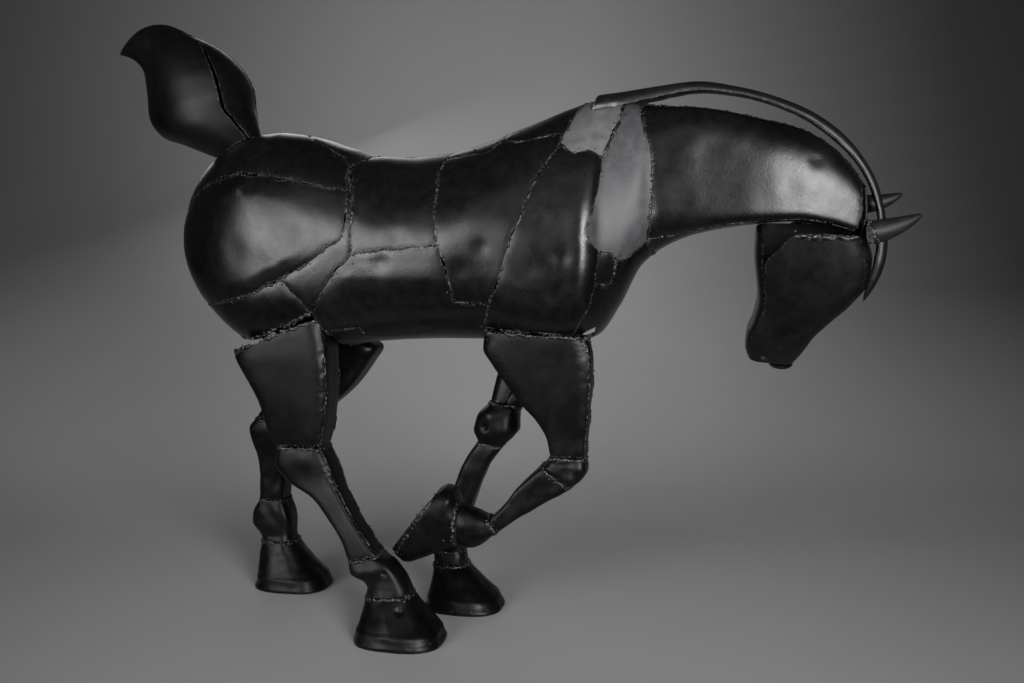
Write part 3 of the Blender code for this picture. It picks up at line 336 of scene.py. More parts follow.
LIMBS = {                # sections, side, how it is made, name and width of the weld at its upper end
    "near_hind_thigh": (NEAR_THIGH, NEAR, "channel", "near_hip", 0.006),
    "near_hind_shank": (NEAR_SHANK, NEAR, "channel", "near_hock", 0.0055),
    "near_hind_fetlock": (NEAR_HIND_FETLOCK, NEAR, "solid", "near_hind_ankle", 0.0050),
    "near_hind_hoof": (NEAR_HIND_HOOF, NEAR, "solid", "near_hind_coronet", 0.0055),
    "far_hind_thigh": (FAR_THIGH, FAR, "wrapped", "far_hip", 0.006),
    "far_hind_shank": (FAR_SHANK, FAR, "solid", "far_hock", 0.0055),
    "far_hind_fetlock": (FAR_HIND_FETLOCK, FAR, "solid", "far_hind_ankle", 0.0050),
    "far_hind_hoof": (FAR_HIND_HOOF, FAR, "solid", "far_hind_coronet", 0.0055),
    "near_fore_arm": (NEAR_ARM, NEAR, "channel", "near_elbow", 0.006),
    "near_fore_knee": (NEAR_KNEE, NEAR, "solid", "near_knee", 0.0060),
    "near_fore_cannon": (NEAR_FORE_CANNON, NEAR, "solid", "near_fore_cannon", 0.0045),
    "near_fore_fetlock": (NEAR_FORE_FETLOCK, NEAR, "solid", "near_fore_ankle", 0.0050),
    "near_fore_hoof": (NEAR_FORE_HOOF, NEAR, "solid", "near_fore_coronet", 0.0060),
    "far_fore_arm": (FAR_ARM, FAR, "wrapped", "far_elbow", 0.006),
    "far_fore_knee": (FAR_KNEE, FAR, "solid", "far_knee", 0.0055),
    "far_fore_cannon": (FAR_CANNON, FAR, "solid", "far_fore_cannon", 0.0045),
    "far_fore_pastern": (FAR_PASTERN, FAR, "solid", "far_pastern", 0.0045),
    "far_fore_hoof": (FAR_FORE_HOOF, FAR, "solid", "far_fore_coronet", 0.0055),
}
LIMB_CORNER = math.radians(38)      # where the channel of a limb meets its front strip
INNER_SLIT = math.radians(2)        # half the slit left where a wrapped limb sheet closes on itself

# Head, hung from the poll and rolled so that its near side is lower.
HEAD_ROLL = math.radians(12)
HEAD_PIVOT_Z = 0.730
HEAD = metres((
    (601, 808, 614, 808, 50, 5.0),
    (601, 765, 616, 765, 55, 5.0),
    (436, 730.5, 617, 724, 60, 5.0),
    (434, 690, 629, 686, 60.5, 5.0),
    (438, 650, 627, 650, 59.5, 5.0),
    (442, 612, 602, 610, 56.5, 5.0),
    (436, 578, 568, 576, 51.5, 5.0),
    (425, 548, 541, 546, 46, 4.5),
    (423, 525, 524, 518, 42, 4.0),
    (429, 503, 509, 497, 38, 3.5),
), 5)
HEAD_TOP_STATION = 2
MUZZLE = metres((
    (462, 496, 508, 491, 37, 3.0),
    (465, 491, 502, 487, 34, 2.6),
    (474, 486, 494, 485, 24, 2.2),
), 5)
# Ears: part of a cone from a base point to the tip.
EARS = {
    "near_ear": {"base": (0.620, -0.054, 0.724), "tip": (0.703, -0.050, 0.755), "radius": 0.021,
                 "turn": math.radians(25)},
    "far_ear": {"base": (0.622, 0.050, 0.773), "tip": (0.687, 0.050, 0.793), "radius": 0.018,
                "turn": math.radians(40)},
}
EAR_SHEET = 0.0022
EAR_BOW = 0.0045         # how far the middle of an ear sags below the line from base to tip
EAR_SWEEP = math.radians(105)

# Mane strip: crest x, z, lower edge x, z and half width.
MANE = metres((
    (160, 967, 153, 936, 51),
    (205, 972, 200, 944.5, 34),
    (258, 979, 258, 957, 30),
    (330, 986, 334, 968, 26),
    (403, 974, 400, 960, 22),
    (504, 940, 494, 928, 19),
    (571, 896, 558, 885, 17),
    (613, 847, 602, 839, 15),
    (637, 801, 626, 794, 14),
    (651, 745, 638, 744, 14),
    (655, 705, 638, 704, 14),
    (653, 680, 635, 676, 14),
    (646, 653, 628, 646, 12),
    (634, 627, 621, 622, 8),
    (620, 606, 618, 607, 3),
), 5)

# Tail pod: rear x, z; seam x, z and depth; crest x, z and depth; upward bow of the side leaves.
TAIL = metres((
    (-572, 868, -505, 904, 30, -508, 905, 30, 0),
    (-650, 892, -528, 934, 45, -520, 938, 46, -4),
    (-702, 912, -545, 957, 52, -527, 965, 54, -6),
    (-728, 950, -550, 985, 55, -531, 998, 56, -3),
    (-731, 992, -558, 1015, 54, -542, 1027, 54, 0),
    (-738, 1038, -572, 1045, 48, -566, 1058, 48, 7),
    (-764, 1063, -592, 1078, 36, -597, 1082, 36, 18),
    (-788, 1071, -622, 1098, 20, -640, 1104, 20, 36),
), 9)
TAIL_GAP = 0.0015        # between the foot of the tail and the crest of the rump
LEAF_SPREAD = 0.0035     # half the distance between the rear edges of the two side leaves
LEAF_EDGES = {"near": (0.0, 1.0), "far": (0.0, 1.0), "crest": (0.045, 0.955)}
CREST_LEAF_BULGE = 0.013
LEAF_LENGTH = 0.27       # of a leaf laid flat, about

# ---------------------------------------------------------------- fineness
FINE_SEAM = 0.003        # spacing of the points along a seam
FINE_STEP = 0.0052       # spacing of the points inside a plate
BEVEL = 0.0004           # how far the worn edge of a sheet is rounded off
PILE = 17                # seed of every random draw
SAME_POINT = 0.0003      # ends of an outline nearer than this are one point
SEAM_GAP = 0.00035       # half of the gap at a plain seam
SEAM_OPENING = 0.0014    # how much wider a seam opens in places
SEAM_FADE = 0.012        # a seam's wobble dies out this close to its ends
SEAM_WANDER = 0.0009     # how far a seam strays from its smooth line
SEAM_RAG = 0.00022       # depth of the small notches of a torch cut
SHARP_ANGLE = math.radians(50)
WORN_REACH = 0.0035      # how far the worn paint of an edge reaches in
SOLID_STEP = 0.0035      # spacing of the rings of points of a closed body
SOLID_AROUND = 120       # points in such a ring
SHAKE = 0.18             # of the spacing: how far the points inside a plate are shaken
EDGE_CLEAR = 0.62        # of the spacing: how near they come to the plate's edge
END_RINGS = (0.93, 0.75, 0.5, 0.25)     # sizes of the rings that fill its ends
CHEEK_CUT = 0.060        # how far down the rear edge of the near cheek its corner is cut away
FOLD_FADE = 0.022        # a fold dies out over this distance at its ends and at the plate's edge

# Hammered relief: size of the waves and how far they push the sheet in or out.
BROAD_WAVE = (0.085, 0.0010)
SMALL_WAVE = (0.030, 0.00022)
LUMP_SIZE = 0.016
CALM_REACH = 0.02        # the broad waves are weaker this near to an edge
PULL = 0.0010            # how far the welds draw an edge in
PULL_REACH = 0.008

# Weld beads and drops of metal.
BEAD_FULLNESS = 1.25
BEAD_STEP = 0.0014       # spacing of the rings of points of a bead
SHORTEST_BEAD = 5        # points
PUDDLE = (0.0042, 0.0006)     # length of a bead's puddles and how much it changes
SPATTER_STEP = 0.011     # one drop for this much of a seam, on average
SPATTER_REACH = 0.012
SPATTER_SIZE = (0.0006, 0.0017)
CRUST_STEP = 0.0035      # one lump for this much of a crusty weld
DROP_SIDES = 7
SOLE_CLEAR = 0.0012      # drops of metal lower than this are squashed against the ground
SQUASHED = 0.06
JOINT_REACH = 0.001      # how far down a piece the weld at its upper end is laid
JOINT_CRUST = 0.0032
RIM_RISE = 0.0065        # height of the rough rim of a hoof above its sole
RIM_CRUST = 0.0026
EAR_ROOT = 0.02          # share of the ear's length at which its weld is laid

far_hoof_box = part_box("far_fore_hoof")
mane_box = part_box("mane")
SHIFT = np.array((far_hoof_box[0].x - FAR_FORE_HOOF[-1][0], (mane_box[0].y + mane_box[1].y) / 2, 0.0))


# ---------------------------------------------------------------- curves and noise
def smooth(knots, x):
    """Smooth curve through (x, value) knots that never swings past them."""
    table = np.array(knots, float)
    places, values = table[:, 0], table[:, 1]
    slopes = np.diff(values) / np.diff(places)
    before = np.concatenate((slopes[:1], slopes))
    after = np.concatenate((slopes, slopes[-1:]))
    turning = before * after <= 0
    tangents = np.where(turning, 0.0, 2 * before * after / np.where(turning, 1.0, before + after))
    x = np.clip(x, places[0], places[-1])
    i = np.clip(np.searchsorted(places, x, side="right") - 1, 0, len(places) - 2)
    h = places[i + 1] - places[i]
    t = (x - places[i]) / h
    return ((2 * t ** 3 - 3 * t * t + 1) * values[i] + (t ** 3 - 2 * t * t + t) * tangents[i] * h
            + (3 * t * t - 2 * t ** 3) * values[i + 1] + (t ** 3 - t * t) * tangents[i + 1] * h)


def squircle(angle, fullness):
    """Points at these polar angles on a rounded square: fullness 2 is a circle, 4 and up a soft box."""
    c = np.cos(angle)
    s = np.sin(angle)
    k = (np.abs(c) ** fullness + np.abs(s) ** fullness) ** (-1 / fullness)
    return c * k, s * k


def trace(controls, step):
    """Evenly spaced points on a smooth curve through 2-D control points."""
    controls = np.array(controls, float)
    runs = []
    for i in range(len(controls) - 1):
        a = controls[max(i - 1, 0)]
        b, c = controls[i], controls[i + 1]
        d = controls[min(i + 2, len(controls) - 1)]
        count = max(1, math.ceil(np.linalg.norm(c - b) / step))
        t = (np.arange(count) / count)[:, None]
        runs.append(0.5 * (2 * b + (c - a) * t + (2 * a - 5 * b + 4 * c - d) * t * t
                           + (3 * b - a - 3 * c + d) * t ** 3))
    runs.append(controls[-1:])
    return np.concatenate(runs)


def lengths(points):
    """Distance along a line of points, at each point."""
    return np.concatenate(((0.0,), np.cumsum(np.linalg.norm(np.diff(points, axis=0), axis=1))))


def unit(vectors, least=1e-9):
    """Each vector divided by its length."""
    return vectors / np.maximum(np.linalg.norm(vectors, axis=1), least)[:, None]


def waves(points, size, seed, count=22):
    """Smooth noise, mostly from -1 to 1, with bumps of about this size."""
    random = np.random.default_rng((PILE, seed))
    directions = random.normal(size=(count, points.shape[1]))
    directions /= np.linalg.norm(directions, axis=1)[:, None]
    pitch = math.pi / (size * random.uniform(0.65, 1.6, count))
    phase = random.uniform(0, 2 * math.pi, count)
    return np.sin(points @ (directions * pitch[:, None]).T + phase).sum(axis=1) / math.sqrt(2 * count)


def seed_of(name):
    """A seed that depends only on the letters of a name."""
    return sum((i + 1) * ord(letter) for i, letter in enumerate(name))


# ---------------------------------------------------------------- trunk and neck skin
def closing(q, roundness):
    return np.maximum(1 - q ** roundness, 0.0) ** (1 / roundness)


def section(x):
    """Crest, belly, half width, height of the widest line and the two fullnesses at x."""
    q = np.clip((X_HIP - x) / RUMP_LENGTH, 0.0, 1.0)
    behind = q > 0
    top = np.where(behind, REAR_Z + (CREST[0][1] - REAR_Z) * closing(q, RUMP_ROUNDNESS["crest"]),
                   smooth(CREST, x))
    bottom = np.where(behind, REAR_Z - (REAR_Z - BELLY[0][1]) * closing(q, RUMP_ROUNDNESS["belly"]),
                      smooth(BELLY, x))
    width = np.where(behind, HALF_WIDTH[0][1] * closing(q, RUMP_ROUNDNESS["width"]),
                     smooth(HALF_WIDTH, x))
    middle = np.clip(smooth(WIDEST, x), bottom, top)
    return top, bottom, width, middle, smooth(UPPER_FULLNESS, x), smooth(LOWER_FULLNESS, x)


def along(x):
    """Distance along the horse of a section, measured round the rump."""
    if x < X_HIP:
        return RUMP_LENGTH * math.acos((X_HIP - x) / RUMP_LENGTH)
    return RUMP_LENGTH * math.pi / 2 + x - X_HIP


def section_x(distance):
    quarter = RUMP_LENGTH * math.pi / 2
    round_rump = X_HIP - RUMP_LENGTH * np.cos(np.clip(distance, 0.0, quarter) / RUMP_LENGTH)
    return np.where(distance < quarter, round_rump, X_HIP + distance - quarter)


def skin(side):
    """Skin of the trunk and neck as a function of distance along it and distance round it."""
    def surface(s, t):
        x = section_x(s)
        top, bottom, width, middle, upper, lower = section(x)
        angle = t / GIRTH_RADIUS
        c, v = squircle(angle, np.where(np.sin(angle) >= 0, upper, lower))
        height = np.where(v >= 0, top - middle, middle - bottom)
        return np.stack((x, side * width * c, middle + height * v), axis=1)
    return surface


def crest_height(x, y):
    """Height of the top of the trunk above points of the plan."""
    top, bottom, width, middle, upper, lower = section(np.maximum(x, X_REAR + SHEET))
    share = np.minimum(np.abs(y) / width, 1.0)
    return middle + (top - middle) * (1 - share ** upper) ** (1 / upper)


def seam_points(name, side, mirrored=False):
    """Points of one seam in the plane of the skin, with a torch cut's wobble. A mirrored seam lies past
    the crest or the belly of the near skin."""
    plain = name.lstrip("-")
    flat = np.array([(along(x), math.radians(a) * GIRTH_RADIUS) for x, a in SEAMS[plain]])
    points = trace(flat, FINE_SEAM)
    run = lengths(points)
    fade = np.clip(np.minimum(run, run[-1] - run) / SEAM_FADE, 0.0, 1.0)
    on_middle = np.all(np.abs(np.abs(flat[:, 1]) - GIRTH_RADIUS * math.pi / 2) < 1e-6)
    seed = seed_of(plain) + (0 if on_middle or side == NEAR else 1)
    across = unit(np.gradient(points, axis=0)[:, ::-1] * (-1, 1))
    wander = (waves(run[:, None], 0.024, seed) * SEAM_WANDER
              + waves(run[:, None], 0.0065, seed + 7) * SEAM_RAG)
    if on_middle:
        wander *= -side
    points = points + across * (wander * fade)[:, None]
    gap = SEAM_GAP + SEAM_OPENING * np.maximum(waves(run[:, None], 0.03, seed + 11), 0.0) * fade
    if name.startswith("-"):
        points = points[::-1]
        gap = gap[::-1]
    if mirrored:
        turn = math.pi if points[:, 1].sum() > 0 else -math.pi
        points = np.stack((points[:, 0], turn * GIRTH_RADIUS - points[:, 1]), axis=1)
    return np.column_stack((points, gap))


def chain(runs):
    """One closed outline from runs of points that follow each other, nearest end first."""
    outline = list(runs[0])
    for run in runs[1:]:
        if math.dist(outline[-1][:2], run[0][:2]) > math.dist(outline[-1][:2], run[-1][:2]):
            run = run[::-1]
        outline.extend(run[1:])
    if math.dist(outline[0][:2], outline[-1][:2]) < SAME_POINT:
        outline.pop()
    return np.array(outline)


# ---------------------------------------------------------------- limbs, head, mane and tail surfaces
def column(stations, index):
    """One column of a station table against the distance down the limb."""
    table = np.array(stations, float)
    middles = (table[:, 0:2] + table[:, 2:4]) / 2
    return list(zip(lengths(middles), table[:, index]))


def limb_length(stations):
    return column(stations, 0)[-1][0]


def limb(stations, side):
    """Surface of a limb: v runs down it, t round it from the front over the outer side, in radians."""
    columns = [column(stations, k) for k in range(7)]

    def surface(v, t):
        rear_x, rear_z, front_x, front_z, middle_y, half, fullness = (smooth(c, v) for c in columns)
        c, s = squircle(t, fullness)
        return np.stack(((rear_x + front_x) / 2 + c * (front_x - rear_x) / 2,
                         middle_y + side * half * s,
                         (rear_z + front_z) / 2 + c * (front_z - rear_z) / 2), axis=1)
    return surface


def head_surface(stations):
    """Surface of the head: t runs from the front over the near side."""
    columns = [column(stations, k) for k in range(6)]

    def surface(v, t):
        rear_x, rear_z, front_x, front_z, half, fullness = (smooth(c, v) for c in columns)
        c, s = squircle(t, fullness)
        z = (rear_z + front_z) / 2
        lean = np.maximum((HEAD_PIVOT_Z - z) * math.tan(HEAD_ROLL), 0.0)
        return np.stack(((rear_x + front_x) / 2 + c * (front_x - rear_x) / 2,
                         lean - half * s * math.cos(HEAD_ROLL),
                         z + c * (front_z - rear_z) / 2 - half * s * math.sin(HEAD_ROLL)), axis=1)
    return surface


def mane_surface():
    """Inverted trough: v runs from the withers to the forehead, t from the near to the far edge."""
    columns = [column(MANE, k) for k in range(5)]

    def surface(v, t):
        top_x, top_z, low_x, low_z, half = (smooth(c, v) for c in columns)
        s, c = squircle(math.pi / 2 - t, 2.4)
        return np.stack((low_x + (top_x - low_x) * c, half * s, low_z + (top_z - low_z) * c), axis=1)
    return surface


def ear_surface(base, tip, radius, turn):
    """Part of a cone from a base circle to the tip, swept round the axis by the angle t."""
    start = np.array(base)
    axis = np.array(tip) - start
    side = np.array((0.0, -1.0, 0.0))
    up = np.cross(side, axis)
    up /= np.linalg.norm(up)

    def surface(v, t):
        v = np.clip(v, 0.0, 1.0)
        r = radius * (1 - v) ** 0.6 * (1 + 0.35 * v * (1 - v))
        sag = EAR_BOW * 4 * v * (1 - v)
        angle = t + turn
        spread = side * np.cos(angle)[:, None] + up * np.sin(angle)[:, None]
        return start + axis * v[:, None] - up * sag[:, None] + spread * r[:, None]
    return surface


def tail_leaf(kind):
    """Side leaf (near or far) or crest leaf of the tail pod, with v from the root to the tip."""
    last_row = len(TAIL) - 1
    knots = [[(i / last_row, row[k]) for i, row in enumerate(TAIL)] for k in range(9)]

    def free_point(v, t):
        rear_x, rear_z, seam_x, seam_z, near, crest_x, crest_z, far, bow = (smooth(k, v) for k in knots)
        if kind == "crest":
            bulge = CREST_LEAF_BULGE * (1 - v * v) * 4 * t * (1 - t)
            x = seam_x + (crest_x - seam_x) * t + bulge
            y = near * (t - 1) + far * t
            z = seam_z + (crest_z - seam_z) * t + bulge
        else:
            side, depth = (NEAR, near) if kind == "near" else (FAR, far)
            edge_x, edge_z = (seam_x, seam_z) if kind == "near" else (crest_x, crest_z)
            x = rear_x + (edge_x - rear_x) * t
            belly = (1 - (1 - t) ** 3) * (1.5 - 0.5 * t)
            y = side * (LEAF_SPREAD + depth * belly)
            z = rear_z + (edge_z - rear_z) * t + bow * 4 * t * (1 - t)
        return np.stack((x, y, z), axis=1)

    def surface(v, t):
        point = free_point(v, t)
        foot = free_point(np.zeros_like(v), t)
        drop = foot[:, 2] - TAIL_GAP - crest_height(foot[:, 0], foot[:, 1])
        point[:, 2] -= drop * np.maximum(1 - v * last_row, 0.0)
        return point
    return surface


# ---------------------------------------------------------------- meshes
def outward(surface, s, t, step=0.0008):
    """Normals of a surface by differences. The caller settles their sign."""
    along_s = surface(s + step, t) - surface(s - step, t)
    along_t = surface(s, t + step) - surface(s, t - step)
    return unit(np.cross(along_s, along_t), 1e-12)


def add_piece(name, points, faces, material, stands_for=None, edge=None):
    """Closed piece turned to face outward. The edge values, 0 to 1, show where its paint is worn."""
    faces = [list(f) for f in faces]
    corners = np.array([(f[0], f[k], f[k + 1]) for f in faces for k in range(1, len(f) - 1)])
    a, b, c = points[corners[:, 0]], points[corners[:, 1]], points[corners[:, 2]]
    if np.einsum("ij,ij->", a, np.cross(b, c)) < 0:
        faces = [f[::-1] for f in faces]
    mesh = bpy.data.meshes.new(name)
    mesh.from_pydata((points + SHIFT).tolist(), [], faces)
    mesh.shade_smooth()
    mesh.set_sharp_from_angle(angle=SHARP_ANGLE)
    mesh.materials.append(material)
    if edge is not None:
        layer = mesh.attributes.new("edge", "FLOAT", "POINT")
        layer.data.foreach_set("value", np.asarray(edge, np.float32))
    piece = bpy.data.objects.new(name, mesh)
    bpy.context.scene.collection.objects.link(piece)
    if stands_for is not None:
        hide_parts(stands_for)
    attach(piece, "root")
    return piece


def inset_outline(outline, gap):
    """Outline moved inward by a distance that may differ from point to point."""
    after = np.roll(outline, -1, axis=0)
    if np.sum(outline[:, 0] * after[:, 1] - after[:, 0] * outline[:, 1]) < 0:
        outline = outline[::-1]
        gap = gap[::-1]
        after = np.roll(outline, -1, axis=0)
    before = np.roll(outline, 1, axis=0)
    miter = (unit(outline - before) + unit(after - outline))[:, ::-1] * (-1, 1)
    reach = gap * 2 / np.maximum((miter ** 2).sum(axis=1), 0.5)
    return outline + miter * reach[:, None]


def survey(points, outline):
    """For each point: whether it lies inside the outline, and its distance from it."""
    crossings = np.zeros(len(points), int)
    nearest = np.full(len(points), 1.0)
    for a, b in zip(outline, np.roll(outline, -1, axis=0)):
        edge = b - a
        if a[1] != b[1]:
            level = (a[1] > points[:, 1]) != (b[1] > points[:, 1])
            crossings += level & (points[:, 0] < a[0] + (points[:, 1] - a[1]) * edge[0] / edge[1])
        share = np.clip(((points - a) @ edge) / max(edge @ edge, 1e-18), 0.0, 1.0)
        offset = points - a - share[:, None] * edge
        nearest = np.minimum(nearest, np.einsum("ij,ij->i", offset, offset))
    return crossings % 2 == 1, np.sqrt(nearest)


def lattice(outline, step, seed):
    """Points of a slightly shaken triangular grid that cover an outline."""
    low, high = outline.min(axis=0), outline.max(axis=0)
    rows = np.arange(low[1], high[1], step * math.sqrt(3) / 2)
    columns = np.arange(low[0], high[0] + step, step)
    grid = np.stack(np.meshgrid(columns, rows), axis=2)
    grid[1::2, :, 0] -= step / 2
    points = grid.reshape(-1, 2)
    shake = np.random.default_rng((PILE, seed)).uniform(-SHAKE, SHAKE, points.shape) * step
    return points + shake


def plate(name, surface, outline, material, relief, thickness=SHEET, step=FINE_STEP, flip=1, scale=1.0,
          gap=None):
    """Bent sheet: an outline in the plane of the surface, filled, dented and given a thickness inward.

    The scale turns the second coordinate into metres. The relief gives the outward push at each point.
    """
    flat_outline = outline * (1.0, scale)
    if gap is None:
        gap = np.full(len(outline), SEAM_GAP)
    border = inset_outline(flat_outline, gap)
    seed = seed_of(name)
    grid = lattice(border, step, seed)
    is_inside, distance = survey(grid, border)
    inner = grid[is_inside & (distance > EDGE_CLEAR * step)]
    loop = list(range(len(border)))
    everything = [Vector(p) for p in np.concatenate((border, inner)).tolist()]
    flat, _, triangles, _, _, _ = delaunay_2d_cdt(everything, [], [loop], 1, 1e-7)
    flat = np.array([tuple(p) for p in flat])
    _, distance = survey(flat, border)
    s, t = flat[:, 0], flat[:, 1] / scale
    base = surface(s, t)
    normal = outward(surface, s, t) * flip
    push = relief(base, distance)
    rounding = BEVEL * np.exp(-(distance / BEVEL) ** 2)
    outer = base + normal * (push - rounding)[:, None]
    under = base + normal * (push - thickness + rounding * 0.6)[:, None]
    count = len(flat)
    faces = [tuple(f) for f in triangles]
    directed = {(a, b) for face in faces for a, b in zip(face, face[1:] + face[:1])}
    rim = [(a, b) for a, b in directed if (b, a) not in directed]
    faces += [tuple(v + count for v in reversed(f)) for f in triangles]
    faces += sorted((b, a, a + count, b + count) for a, b in rim)
    worn = np.exp(-distance / WORN_REACH)
    return add_piece(name, np.concatenate((outer, under)), faces, material, stands_for=name,
                     edge=np.concatenate((worn, worn)))


def wall_faces(rows, around):
    """Quads between rings of points that follow each other."""
    corners = [(i * around + k, i * around + (k + 1) % around) for i in range(rows) for k in range(around)]
    return [(a, b, b + around, a + around) for a, b in corners]


def solid(name, surface, length, material, relief, rows, rim=0.0012):
    """Closed body along the whole of a surface, with rounded rims and ends filled ring by ring."""
    around = SOLID_AROUND
    levels = np.linspace(0.0, length, rows + 1)
    angles = np.arange(around) * 2 * math.pi / around
    v = np.repeat(levels, around)
    t = np.tile(angles, rows + 1)
    base = surface(v, t)
    normal = outward(surface, v, t)
    middle = np.repeat(base.reshape(rows + 1, around, 3).mean(axis=1), around, axis=0)
    normal *= np.sign(np.einsum("ij,ij->i", normal, base - middle).sum())
    distance = np.minimum(v, length - v)
    rounding = rim * 0.5 * np.maximum(1 - distance / rim, 0.0) ** 2
    wall = base + normal * (relief(base, distance) - rounding)[:, None]
    caps = []
    for end in (0, rows):
        brim = wall[end * around:(end + 1) * around]
        centre = brim.mean(axis=0)
        caps.append(np.concatenate([centre + (brim - centre) * share for share in END_RINGS]
                                   + [centre[None, :]]))
    points = np.concatenate([wall] + caps)
    faces = wall_faces(rows, around)
    start = len(wall)
    for end, turn in ((0, -1), (rows, 1)):
        outer_ring = end * around
        for j in range(len(END_RINGS)):
            inner_ring = start + j * around
            for k in range(around):
                n = (k + 1) % around
                quad = (outer_ring + k, outer_ring + n, inner_ring + n, inner_ring + k)
                faces.append(quad[::turn])
            outer_ring = inner_ring
        centre = start + len(END_RINGS) * around
        faces.extend((outer_ring + k, outer_ring + (k + 1) % around, centre)[::turn] for k in range(around))
        start = centre + 1
    worn = np.exp(-distance / WORN_REACH)
    worn = np.concatenate((worn, np.zeros(len(points) - len(worn))))
    return add_piece(name, points, faces, material, stands_for=name, edge=worn)


def tube(path, up, radius, sides=9, flat=0.6):
    """Vertices and faces of a lumpy bead along a path. Radius 0 at both ends closes it."""
    ahead = unit(np.gradient(path, axis=0))
    across = unit(np.cross(ahead, up))
    up = np.cross(across, ahead)
    turns = np.arange(sides) * 2 * math.pi / sides
    ring = (across[:, None, :] * np.cos(turns)[None, :, None]
            + up[:, None, :] * np.sin(turns)[None, :, None] * flat)
    points = (path[:, None, :] + ring * radius[:, None, None]).reshape(-1, 3)
    faces = wall_faces(len(path) - 1, sides)
    faces.append(tuple(range(sides))[::-1])
    faces.append(tuple(range((len(path) - 1) * sides, len(path) * sides)))
    return points, faces


def bead(path, normal, width, seed, lift=0.0):
    """A weld bead of overlapping puddles laid along a path on a surface."""
    run = lengths(path)
    count = max(6, int(run[-1] / BEAD_STEP))
    even = np.linspace(0.0, run[-1], count)
    path = np.stack([np.interp(even, run, path[:, k]) for k in range(3)], axis=1)
    normal = np.stack([np.interp(even, run, normal[:, k]) for k in range(3)], axis=1)
    place = even[:, None]
    ripple = np.abs(np.sin(even * math.pi / (PUDDLE[0] + PUDDLE[1] * waves(place, 0.03, seed + 1))))
    lumps = 1 + 0.35 * waves(place, 0.006, seed + 2) + 0.25 * waves(place, 0.019, seed + 3)
    ends = np.clip(np.minimum(even, run[-1] - even) / width, 0.02, 1.0) ** 0.5
    radius = width / 2 * np.maximum(lumps, 0.25) * (0.78 + 0.22 * ripple) * ends
    side = unit(np.cross(np.gradient(path, axis=0), normal))
    sway = waves(place, 0.012, seed + 4) * width * 0.18
    path = path + side * sway[:, None] + normal * lift
    return tube(path, normal, radius)


def gather(parts):
    """Several closed shells as one list of points and faces."""
    points, faces, start = [], [], 0
    for some_points, some_faces in parts:
        points.append(some_points)
        faces.extend(tuple(v + start for v in face) for face in some_faces)
        start += len(some_points)
    return np.concatenate(points), faces


# ---------------------------------------------------------------- materials
class Nodes:
    """Short ways to add and join the shader nodes of one material."""

    def __init__(self, name):
        self.material = bpy.data.materials.new(name)
        self.material.use_nodes = True
        self.tree = self.material.node_tree
        self.shader = self.tree.nodes["Principled BSDF"]
        self.place = self.add("ShaderNodeTexCoord").outputs["Object"]

    def add(self, kind, **settings):
        node = self.tree.nodes.new(kind)
        for key, value in settings.items():
            setattr(node, key, value)
        return node

    def join(self, source, target):
        self.tree.links.new(source, target)

    def noise(self, scale, detail=3.0, rough=0.55, stretch=None):
        node = self.add("ShaderNodeTexNoise")
        node.inputs["Scale"].default_value = scale
        node.inputs["Detail"].default_value = detail
        node.inputs["Roughness"].default_value = rough
        place = self.place
        if stretch is not None:
            mapping = self.add("ShaderNodeMapping")
            mapping.inputs["Scale"].default_value = stretch
            self.join(place, mapping.inputs["Vector"])
            place = mapping.outputs["Vector"]
        self.join(place, node.inputs["Vector"])
        return node.outputs["Fac"]

    def cells(self, scale, feature="F1"):
        node = self.add("ShaderNodeTexVoronoi", feature=feature)
        node.inputs["Scale"].default_value = scale
        self.join(self.place, node.inputs["Vector"])
        return node.outputs["Distance"]

    def spread(self, value, low, high, new_low=0.0, new_high=1.0):
        node = self.add("ShaderNodeMapRange", clamp=True)
        self.join(value, node.inputs["Value"])
        node.inputs["From Min"].default_value = low
        node.inputs["From Max"].default_value = high
        node.inputs["To Min"].default_value = new_low
        node.inputs["To Max"].default_value = new_high
        return node.outputs["Result"]

    def combine(self, operation, first, second):
        node = self.add("ShaderNodeMath", operation=operation)
        for socket, value in zip(node.inputs, (first, second)):
            if isinstance(value, (int, float)):
                socket.default_value = value
            else:
                self.join(value, socket)
        return node.outputs["Value"]

    def mix(self, share, first, second):
        node = self.add("ShaderNodeMix", data_type="RGBA")
        self.join(share, node.inputs["Factor"])
        for socket, value in ((node.inputs["A"], first), (node.inputs["B"], second)):
            if isinstance(value, tuple):
                socket.default_value = (*value, 1.0)
            else:
                self.join(value, socket)
        return node.outputs["Result"]

    def bump(self, height, strength, distance, before=None):
        node = self.add("ShaderNodeBump")
        node.inputs["Strength"].default_value = strength
        node.inputs["Distance"].default_value = distance
        self.join(height, node.inputs["Height"])
        if before is not None:
            self.join(before, node.inputs["Normal"])
        return node.outputs["Normal"]


